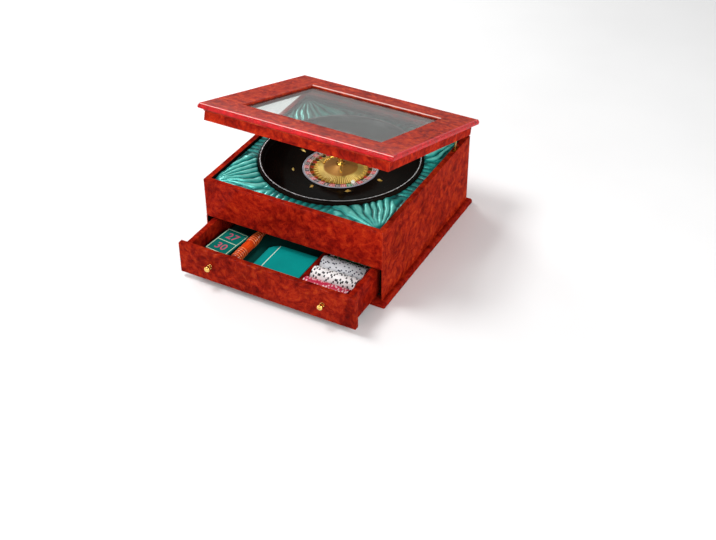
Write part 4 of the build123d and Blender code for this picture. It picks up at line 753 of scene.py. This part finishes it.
for name, rim_shift, rail_shift, turn in (("front", (0.21, 0.90, 0.33), (0.15, 0.22, 0.71), 0),
                                          ("back", (0.61, 0.16, 0.52), (0.35, 0.81, 0.27), 0),
                                          ("left", (0.44, 0.47, 0.15), (0.83, 0.05, 0.39), 1.57),
                                          ("right", (0.77, 0.62, 0.94), (0.57, 0.69, 0.11), 1.57)):
    give(burl(name + "_rim_veneer", rim_shift, tint=RIM_TINT), "lid_rim_" + name)
    give(burl(name + "_rail_veneer", rail_shift, (0, 0, turn), RAIL_SHEEN_TINT, nose=cornice_nose, gloss=0.25),
         "top_rail_" + name)
give(two_tone("bead_black", srgb(20, 12, 11), srgb(48, 24, 20), {"Roughness": 0.4},
              700, drawn=(0.2, 0.2, 1), depth=0.05 * MM), "glazing_beads")

# ======== glass ========
# Float glass 3 mm thick, loose in the lid frame: clear, with gloss by angle and a few smears.

GLASS_IOR = 1.5
glass, shader, add, place = new_finish("glass")
clear = add("BsdfTransparent", {"Color": (*srgb(244, 248, 246), 1)}).outputs[0]
smears = ranged(add, cloud(add, place, 30, 5, 0.5), 0.45, 0.75, 0.01, 0.10)
gloss = add("BsdfGlossy", {"Color": (1, 1, 1, 1), "Roughness": smears}).outputs[0]
inward = add("NewGeometry").outputs["Backfacing"]
by_angle = add("Fresnel", {"IOR": ranged(add, inward, 0.0, 1.0, GLASS_IOR, 1 / GLASS_IOR)}).outputs[0]
end = next(n for n in glass.node_tree.nodes if n.type == "OUTPUT_MATERIAL")
add.join(end, {"Surface": add("MixShader", {0: by_angle, 1: clear, 2: gloss}).outputs[0]})
glass.node_tree.nodes.remove(shader)
give(glass, "glass_pane")

# ======== hinges and stay ========
# Stamped brass butt hinges and a quadrant stay with its keeper, held by small brass screws.

give(brass, "hinge_case_leaves", "hinge_lid_leaves", "stay_quadrant", "stay_keeper")
give(gold("screw_brass", srgb(130, 92, 34), srgb(214, 170, 84), scale=500), "case_screws", "lid_screws",
     "knob_screws")
give(spindle_steel, "hinge_pins")

# ======== drawer ========
# Veneered front with two turned brass knobs, red stained sides, back and dividers, and a thin
# bottom grooved in. Glued and pinned, it slides on the case's floor.

# The drawer front is tinted darker than the case's boards: painted shade.
give(burl("drawer_front_veneer_shaded", (0.67, 0.41, 0.29), tint=(0.82, 0.95, 0.90)), "drawer_front")
give(burl("drawer_side_stain", (0.29, 0.55, 0.77), tint=(0.80, 0.72, 0.72)), "drawer_sides", "drawer_back")
give(burl("divider_stain", (0.03, 0.19, 0.59), tint=(0.62, 0.52, 0.52)), "drawer_dividers")
give(gold("knob_brass", srgb(190, 134, 52), srgb(250, 214, 124), rough=(0.08, 0.2)), "drawer_knobs")

# ======== chips ========
# Moulded plastic chips 40 mm across with six spots let into the edge, stood on edge in four
# rows on the drawer's bottom. Each lies a little turned, as it was dropped in.

CHIPS_IN_ROW = 31
CHIP_CUTS = 48
CHIP_SPOTS = 6
CHIP_RECESS_R = 13.2 * MM
CHIP_RECESS = 0.25 * MM
CHIP_ROUND = 0.45 * MM
CHIP_FACE_RIM = 0.9 * MM
CHIP_GAP = 0.03 * MM  # half of what parts two chips
CHIP_WEAR, CHIP_STRAY, CHIP_LEAN = 0.4 * MM, 0.3 * MM, 0.006


def plastic(name, dark, light):
    made, shader, add, place = new_finish(name)
    scuffs = cloud(add, place, 900, 4)
    add.join(shader, {
        "Base Color": band(add, scuffs, (0.3, dark), (0.7, light)),
        "Roughness": band(add, scuffs, (0.3, 0.35), (0.7, 0.5)),
        "Normal": bump(add, scuffs, 0.02 * MM)})
    return made


def chip_row(colour, body_finish, spot_finish, spot_width, seed):
    """One row of chips: each is a turned profile about X with its spots as faces of their own."""
    chance = random.Random(seed)
    node = "chips_" + colour
    low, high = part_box(node)
    pitch = (high.x - low.x) / CHIPS_IN_ROW
    half = pitch / 2 - CHIP_GAP
    full_r = (high.z - low.z) / 2
    points, faces, spots = [], [], []
    for i in range(CHIPS_IN_ROW):
        r = full_r - chance.uniform(0, 1) * CHIP_WEAR
        x0 = low.x + (i + 0.5) * pitch
        stray = CHIP_STRAY * (1 if r < full_r - CHIP_STRAY else 0.3)
        y0 = (low.y + high.y) / 2 + chance.uniform(-1, 1) * stray
        z0 = low.z + r
        start = chance.uniform(0, 2 * math.pi)
        lean = chance.uniform(-1, 1) * CHIP_LEAN
        outline = [(0.4 * MM, CHIP_RECESS - half), (CHIP_RECESS_R, CHIP_RECESS - half),
                   (CHIP_RECESS_R + CHIP_RECESS, -half), (r - CHIP_FACE_RIM, -half),
                   (r - 0.1 * MM, CHIP_ROUND - half), (r, 1.4 * CHIP_ROUND - half)]
        outline += [(a, -b) for a, b in reversed(outline)]
        first = len(points)
        for s in range(CHIP_CUTS):
            turn = start + 2 * math.pi * s / CHIP_CUTS
            for a, b in outline:
                up = z0 + a * math.sin(turn)
                points.append((x0 + b + (up - z0) * lean, y0 + a * math.cos(turn), up))
        wide = len(outline)
        step = CHIP_CUTS // CHIP_SPOTS
        for s in range(CHIP_CUTS):
            near, far = first + s * wide, first + (s + 1) % CHIP_CUTS * wide
            for j in range(wide - 1):
                faces.append((near + j, near + j + 1, far + j + 1, far + j))
                spots.append(s % step < spot_width and 3 <= j <= wide - 5)
        faces.append(tuple(first + s * wide for s in range(CHIP_CUTS)))
        faces.append(tuple(first + s * wide + wide - 1 for s in reversed(range(CHIP_CUTS))))
        spots += [False, False]
    mesh = plain_mesh(node, points, faces)
    row = new_piece(colour + "_chips", mesh, body_finish, "drawer", smooth=False)
    mesh.materials.append(spot_finish)
    for face, spot in zip(mesh.polygons, spots):
        face.material_index = int(spot)
    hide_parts(node)


chip_black = plastic("chip_black", srgb(16, 15, 20), srgb(34, 32, 40))
chip_navy = plastic("chip_navy", srgb(22, 22, 56), srgb(40, 40, 84))
chip_pink = plastic("chip_pink", srgb(232, 190, 198), srgb(250, 224, 228))
for colour, dark, light, spot_finish, spot_width, seed in (
        ("red", srgb(186, 20, 60), srgb(222, 52, 92), chip_pink, 2, 11),
        ("white", srgb(244, 244, 242), srgb(253, 253, 253), chip_black, 2, 12),
        ("grey", srgb(240, 241, 246), srgb(252, 252, 254), chip_navy, 1, 13),
        ("green", srgb(20, 96, 60), srgb(38, 132, 84), chip_pink, 2, 14)):
    chip_row(colour, plastic("chip_" + colour, dark, light), spot_finish, spot_width, seed)

# ======== layout cloths ========
# Spare layout cloths of thin teal baize, each folded in half or in three and then over and
# over, and laid in the drawer. Lines and numbers are printed on the side that shows.

CLOTH_T = 1.2 * MM
CLOTH_STEP = 7 * MM  # between the points of a folded cloth
CLOTH_DRIFT, CLOTH_SAG = 0.5 * MM, 0.9 * MM  # how unevenly the folds lie
PRINT_WHITE = srgb(214, 236, 216)
PLAIN_LINE = (21.5 * MM, 1.8 * MM)  # from the plain cloth's edge, and how wide
PLAIN_TOP = 5 * MM  # the line shows only this far down


def baize(name, dark, light, line=None):
    """Baize, with a pale line printed along Y: (middle, width, the height that it lies above)."""
    made, shader, add, place = new_finish(name)
    nap = cloud(add, place, 2400, 4, 0.7)
    patches = cloud(add, place, 26, 3)
    colour = mixed(add, patches, band(add, nap, (0.3, dark), (0.7, light)), dark)
    if line:
        middle, width, height = line
        parts = split(add, place)
        aside = maths(add, "ABSOLUTE", maths(add, "SUBTRACT", parts["X"], middle))
        inside = maths(add, "LESS_THAN", aside, width / 2)
        inside = maths(add, "MULTIPLY", inside, maths(add, "GREATER_THAN", parts["Z"], height))
        colour = mixed(add, inside, colour, PRINT_WHITE)
    add.join(shader, {
        "Base Color": colour, "Roughness": 0.85, "Specular IOR Level": 0.08,
        "Sheen Weight": 0.03, "Sheen Roughness": 0.4, "Sheen Tint": (*srgb(150, 225, 210), 1),
        "Normal": bump(add, nap, 0.25 * MM)})
    return made


def zigzag(length, layers, wide_turn, narrow_turn, steps):
    """Centre line of a strip folded over and over: (along, up, and its upper side's direction)."""
    path, up = [], 0.0
    for layer in range(layers):
        going = 1 if layer % 2 == 0 else -1
        for i in range(steps + 1):
            path.append((going * length * (i / steps - 0.5), up, 0.0, float(going)))
        if layer == layers - 1:
            break
        r = wide_turn if layer % 2 == 0 else narrow_turn
        for i in range(1, 8):
            a = math.pi * i / 8
            along = going * (length / 2 + r * math.sin(a))
            rise = up + r * (1 - math.cos(a))
            path.append((along, rise, -math.sin(a), going * math.cos(a)))
        up += 2 * r
    return path


def folded_cloth(name, node, finish, plies, layers, seed, turn=0.0, size=None, corner=None):
    """A cloth folded into plies across X, then into layers along Y, inside a CAD node's box."""
    low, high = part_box(node)
    wide, deep = size or (high.x - low.x, high.y - low.y)
    middle = (low + high) / 2
    sheets = plies * layers
    pitch = (high.z - low.z - CLOTH_T - 0.3 * MM) / (sheets - 1)
    stack = (plies - 1) * pitch
    across = zigzag(wide - pitch - CLOTH_T - 0.6 * MM, plies, pitch / 2, pitch / 2,
                    max(8, int(wide / CLOTH_STEP)))
    along = zigzag(deep - 2 * stack - pitch - CLOTH_T - 0.8 * MM, layers, stack + pitch / 2, pitch / 2,
                   max(10, int(deep / CLOTH_STEP)))
    c, s = math.cos(turn), math.sin(turn)
    rows = []
    for y, z, side_y, side_z in along:
        row = []
        for x, lift, *_ in across:
            lay_x, lay_y, lay_z = x, y + side_y * lift, z + side_z * lift
            share = lay_z / (high.z - low.z)
            drift = noise.noise(Vector((lay_z * 400, seed, 0.5))) * CLOTH_DRIFT
            if corner and lay_y > 0:
                gap_x = max(0.0, corner - (lay_x + wide / 2)) / corner
                lay_y *= 1 - (1 - math.sqrt(max(0.0, 1 - gap_x * gap_x))) * 2 * corner / deep
            sag = CLOTH_SAG * share * (noise.noise(Vector((lay_x * 16, lay_y * 16, seed))) - 0.35)
            px = middle.x + c * (lay_x + drift * 0.4) - s * (lay_y + drift)
            py = middle.y + s * (lay_x + drift * 0.4) + c * (lay_y + drift)
            pz = low.z + CLOTH_T / 2 + 0.1 * MM + lay_z + sag
            row.append((px, py, min(max(pz, low.z + CLOTH_T / 2), high.z - CLOTH_T / 2)))
        rows.append(row)
    piece = new_piece(name, grid_mesh(name, rows), finish, "drawer")
    thicken(piece, CLOTH_T)
    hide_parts(node)
    return piece, (wide * plies, deep * layers)


plain_low, plain_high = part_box("plain_cloth")
number_low, number_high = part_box("number_cloth")
# The lowest cloth is coloured darker than the others: painted shade under the front panel.
teal = baize("under_baize_shaded", srgb(0, 52, 48), srgb(4, 84, 76))
under_cloth, flat = folded_cloth("under_cloth", "lower_cloth", teal, 3, 4, 2.0)
teal = baize("plain_baize", srgb(0, 134, 130), srgb(0, 166, 160),
             (plain_low.x + PLAIN_LINE[0], PLAIN_LINE[1], plain_high.z - PLAIN_TOP))
lined_cloth, flat = folded_cloth("lined_cloth", "plain_cloth", teal, 2, 4, 5.0, corner=30 * MM)

NUMBER_TURN = math.radians(-5.5)
NUMBER_SIZE = (60 * MM, 90 * MM)
NUMBER_LINE = 0.7 * MM
CELL_MARGIN = (4.5 * MM, 5.5 * MM)
CELL_NUMBER_H, CELL_NUMBER_T = 21 * MM, 0.05 * MM
number_centre = (number_low + number_high) / 2
teal = baize("number_baize", srgb(0, 100, 90), srgb(4, 130, 118))
figured_cloth, flat = folded_cloth("figured_cloth", "number_cloth", teal, 2, 4, 8.0, NUMBER_TURN,
                                   NUMBER_SIZE)


def strip(x0, y0, x1, y1, half):
    """A straight printed line as a fine row of squares."""
    a, b = Vector((x0, y0, 0)), Vector((x1, y1, 0))
    side = (b - a).normalized().cross(Vector((0, 0, 1))) * half
    steps = max(2, int((b - a).length / (3 * MM)))
    points = []
    for i in range(steps + 1):
        mid = a.lerp(b, i / steps)
        points += [mid - side, mid + side]
    return points, [(2 * i, 2 * i + 1, 2 * i + 3, 2 * i + 2) for i in range(steps)]


bpy.context.view_layer.update()
cell_x, cell_y = (size / 2 - margin for size, margin in zip(NUMBER_SIZE, CELL_MARGIN))


def join_prints(name, shapes, finish):
    """Lay flat shapes on the figured cloth: each point drops on to it and stands a hair proud."""
    points, faces = [], []
    c, s = math.cos(NUMBER_TURN), math.sin(NUMBER_TURN)
    for shape_points, shape_faces, up in shapes:
        first = len(points)
        for p in shape_points:
            x = number_centre.x - s * up + c * p.x - s * p.y
            y = number_centre.y + c * up + s * p.x + c * p.y
            top = height_of("figured_cloth", x, y) or number_high.z
            points.append((x, y, top + CELL_NUMBER_T + p.z))
        faces += [tuple(first + v for v in f) for f in shape_faces]
    new_piece(name, plain_mesh(name, points, faces), finish, "drawer", smooth=False)


def ink(name, dark, light):
    return two_tone(name, dark, light, {"Roughness": 0.8}, 2400, roughness=0.7, spread=(0.3, 0.6),
                    depth=0.2 * MM)


frame_lines = [(-cell_x, y, cell_x, y) for y in (-cell_y, 0, cell_y)]
frame_lines += [(x, -cell_y, x, cell_y) for x in (-cell_x, cell_x)]
join_prints("cell_lines", [(*strip(*ends, NUMBER_LINE), 0) for ends in frame_lines],
            ink("line_ink", srgb(180, 222, 176), srgb(226, 244, 214)))
join_prints("cell_numbers", [(*lettering("30", CELL_NUMBER_H, CELL_NUMBER_T), -cell_y / 2),
                             (*lettering("27", CELL_NUMBER_H, CELL_NUMBER_T), cell_y / 2)],
            ink("number_ink", srgb(170, 50, 88), srgb(208, 84, 118)))

# ======== chip rake ========
# Turned beech grip with beads cut round it, lacquered orange, on a thin beech shaft that ends
# in a flat blade. It lies along the drawer on the cloths.

grip_low, grip_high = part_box("rake_handle")
GRIP_TURNS, GRIP_CUTS = 40, 180
GRIP_END = 4 * MM  # rounding at both ends
BEAD = 6.5 * MM
PLAIN_FROM, PLAIN_TO = 34 * MM, 62 * MM  # the part of the grip left without beads
grip_r = (grip_high.x - grip_low.x) / 2
grip_x = (grip_low.x + grip_high.x) / 2
grip_z = (grip_low.z + grip_high.z) / 2
grip_length = grip_high.y - grip_low.y


def grip_radius(at):
    """Radius of the grip at a distance from its butt end."""
    end = min(at, grip_length - at)
    cap = math.sqrt(max(0.0, 1 - max(0.0, 1 - end / GRIP_END) ** 2))
    if PLAIN_FROM < at < PLAIN_TO:
        groove = 0.90 + 0.04 * math.sin(math.pi * (at - PLAIN_FROM) / (PLAIN_TO - PLAIN_FROM))
    else:
        groove = 0.84 + 0.16 * (0.5 + 0.5 * math.cos(2 * math.pi * at / BEAD)) ** 1.6
    taper = 1.0 - 0.35 * ease(at, 0.62 * grip_length, grip_length)
    return grip_r * groove * taper * cap


rows = []
for i in range(GRIP_CUTS + 1):
    at = grip_length * i / GRIP_CUTS
    r = max(grip_radius(at), 0.3 * MM)
    rows.append([(grip_x + r * math.cos(2 * math.pi * k / GRIP_TURNS), grip_low.y + at,
                  grip_z + r * math.sin(2 * math.pi * k / GRIP_TURNS)) for k in range(GRIP_TURNS)])
grip_mesh = grid_mesh("grip", rows, wrap_columns=True)
sewn = bmesh.new()
sewn.from_mesh(grip_mesh)
bmesh.ops.holes_fill(sewn, edges=[e for e in sewn.edges if e.is_boundary], sides=0)
bmesh.ops.recalc_face_normals(sewn, faces=sewn.faces)
sewn.to_mesh(grip_mesh)
sewn.free()
rake_orange, shader, add, place = new_finish("rake_orange")
parts = split(add, place)
from_core = off_line(add, parts, X=grip_x, Z=grip_z)
grain = cloud(add, stretched(add, place, (1, 0.08, 1)), 500, 5)
stain = band(add, grain, (0.3, srgb(198, 50, 12)), (0.7, srgb(238, 86, 24)))
reach = maths(add, "MULTIPLY", from_core, 1 / grip_r)
along = maths(add, "SUBTRACT", parts["Y"], grip_low.y)
beads = maths(add, "COSINE", maths(add, "MULTIPLY", along, 2 * math.pi / BEAD))
plain = maths(add, "GREATER_THAN", along, PLAIN_FROM)
plain = maths(add, "MULTIPLY", plain, maths(add, "LESS_THAN", along, PLAIN_TO))
# The bead crests are painted pale: a painted highlight.
crest_highlight = band(add, maths(add, "SUBTRACT", beads, plain), (0.72, 0), (0.93, 0.85))
# The stain is darkened in the grooves between the beads: painted shade.
stain = mixed(add, 1.0, stain, band(add, reach, (0.84, (0.50, 0.36, 0.34)), (0.93, 1)), "MULTIPLY")
add.join(shader, {
    "Base Color": mixed(add, crest_highlight, stain, srgb(246, 158, 84)),
    "Normal": bump(add, grain, 0.04 * MM)})
lacquer(add, shader, place, 0.35, 0.6, 0.12)
rake_grip = new_piece("rake_grip", grip_mesh, rake_orange, "drawer")
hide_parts("rake_handle")
give(two_tone("rake_wood", srgb(150, 100, 52), srgb(206, 160, 100),
              {"Roughness": 0.4, "Coat Weight": 0.4, "Coat Roughness": 0.15},
              420, 6, 0.6, (1, 0.06, 1), depth=0.06 * MM), "rake_shaft", "rake_head")

# ======== floor, light and camera ========
# A pale studio floor, broad lamps overhead, to the right, to the left behind and low in front,
# and the camera in front to the right, above the lid.

FLOOR_HALF = 14.0
floor_mesh = grid_mesh("floor", [[(x * FLOOR_HALF, y * FLOOR_HALF, 0) for x in (-1, 1)] for y in (-1, 1)])
paper = two_tone("paper", 0.86, 0.90, {"Roughness": 0.9}, 3, 2, spread=(0.2, 0.8))
floor = new_piece("floor", floor_mesh, paper, None)

world = bpy.data.worlds.new("studio")
scene.world = world
world.use_nodes = True
add = node_adder(world.node_tree)
up = add("SeparateXYZ", {"Vector": add("TexCoord").outputs["Generated"]}).outputs["Z"]
glow = ranged(add, up, 0.15, 0.55, 1.6, 0.30, interpolation_type="SMOOTHSTEP")
add.join(world.node_tree.nodes["Background"], {"Color": (1, 1, 1, 1), "Strength": glow})


def stand(piece, place, turn):
    piece.location = place
    piece.rotation_mode = "QUATERNION"
    piece.rotation_quaternion = turn


def lamp(name, place, aim, size, power):
    light = bpy.data.lights.new(name, "AREA")
    light.shape = "RECTANGLE"
    light.size, light.size_y = size
    light.energy = power
    stand(in_scene(name, light), place, (Vector(aim) - Vector(place)).to_track_quat("-Z", "Y"))


lamp("overhead", (-0.95, -0.35, 2.3), (0, 0, 0.1), (0.8, 0.8), 36)
lamp("right_key", (2.3, -1.1, 1.4), (0, 0, 0.1), (1.1, 0.9), 30)
lamp("front_fill", (-0.3, -2.6, 0.9), (0, -0.1, 0.1), (1.2, 0.8), 13)
lamp("left_back", (-2.0, 1.2, 0.95), (0, -0.1, 0.15), (0.9, 0.6), 26)

CAMERA_PLACE = Vector((1.1227, -2.0061, 1.6140))
CAMERA_AIM = Vector((-0.3776, 0.7018, -0.6041))
CAMERA_ROLL = math.radians(-0.26)
camera_data = bpy.data.cameras.new("camera")
camera_data.lens, camera_data.sensor_width = 62.04, 36.0
camera_data.clip_end = 100
camera = in_scene("camera", camera_data)
stand(camera, CAMERA_PLACE, CAMERA_AIM.to_track_quat("-Z", "Y") @ Quaternion((0, 0, 1), CAMERA_ROLL))
scene.camera = camera
scene.view_settings.view_transform = "Standard"
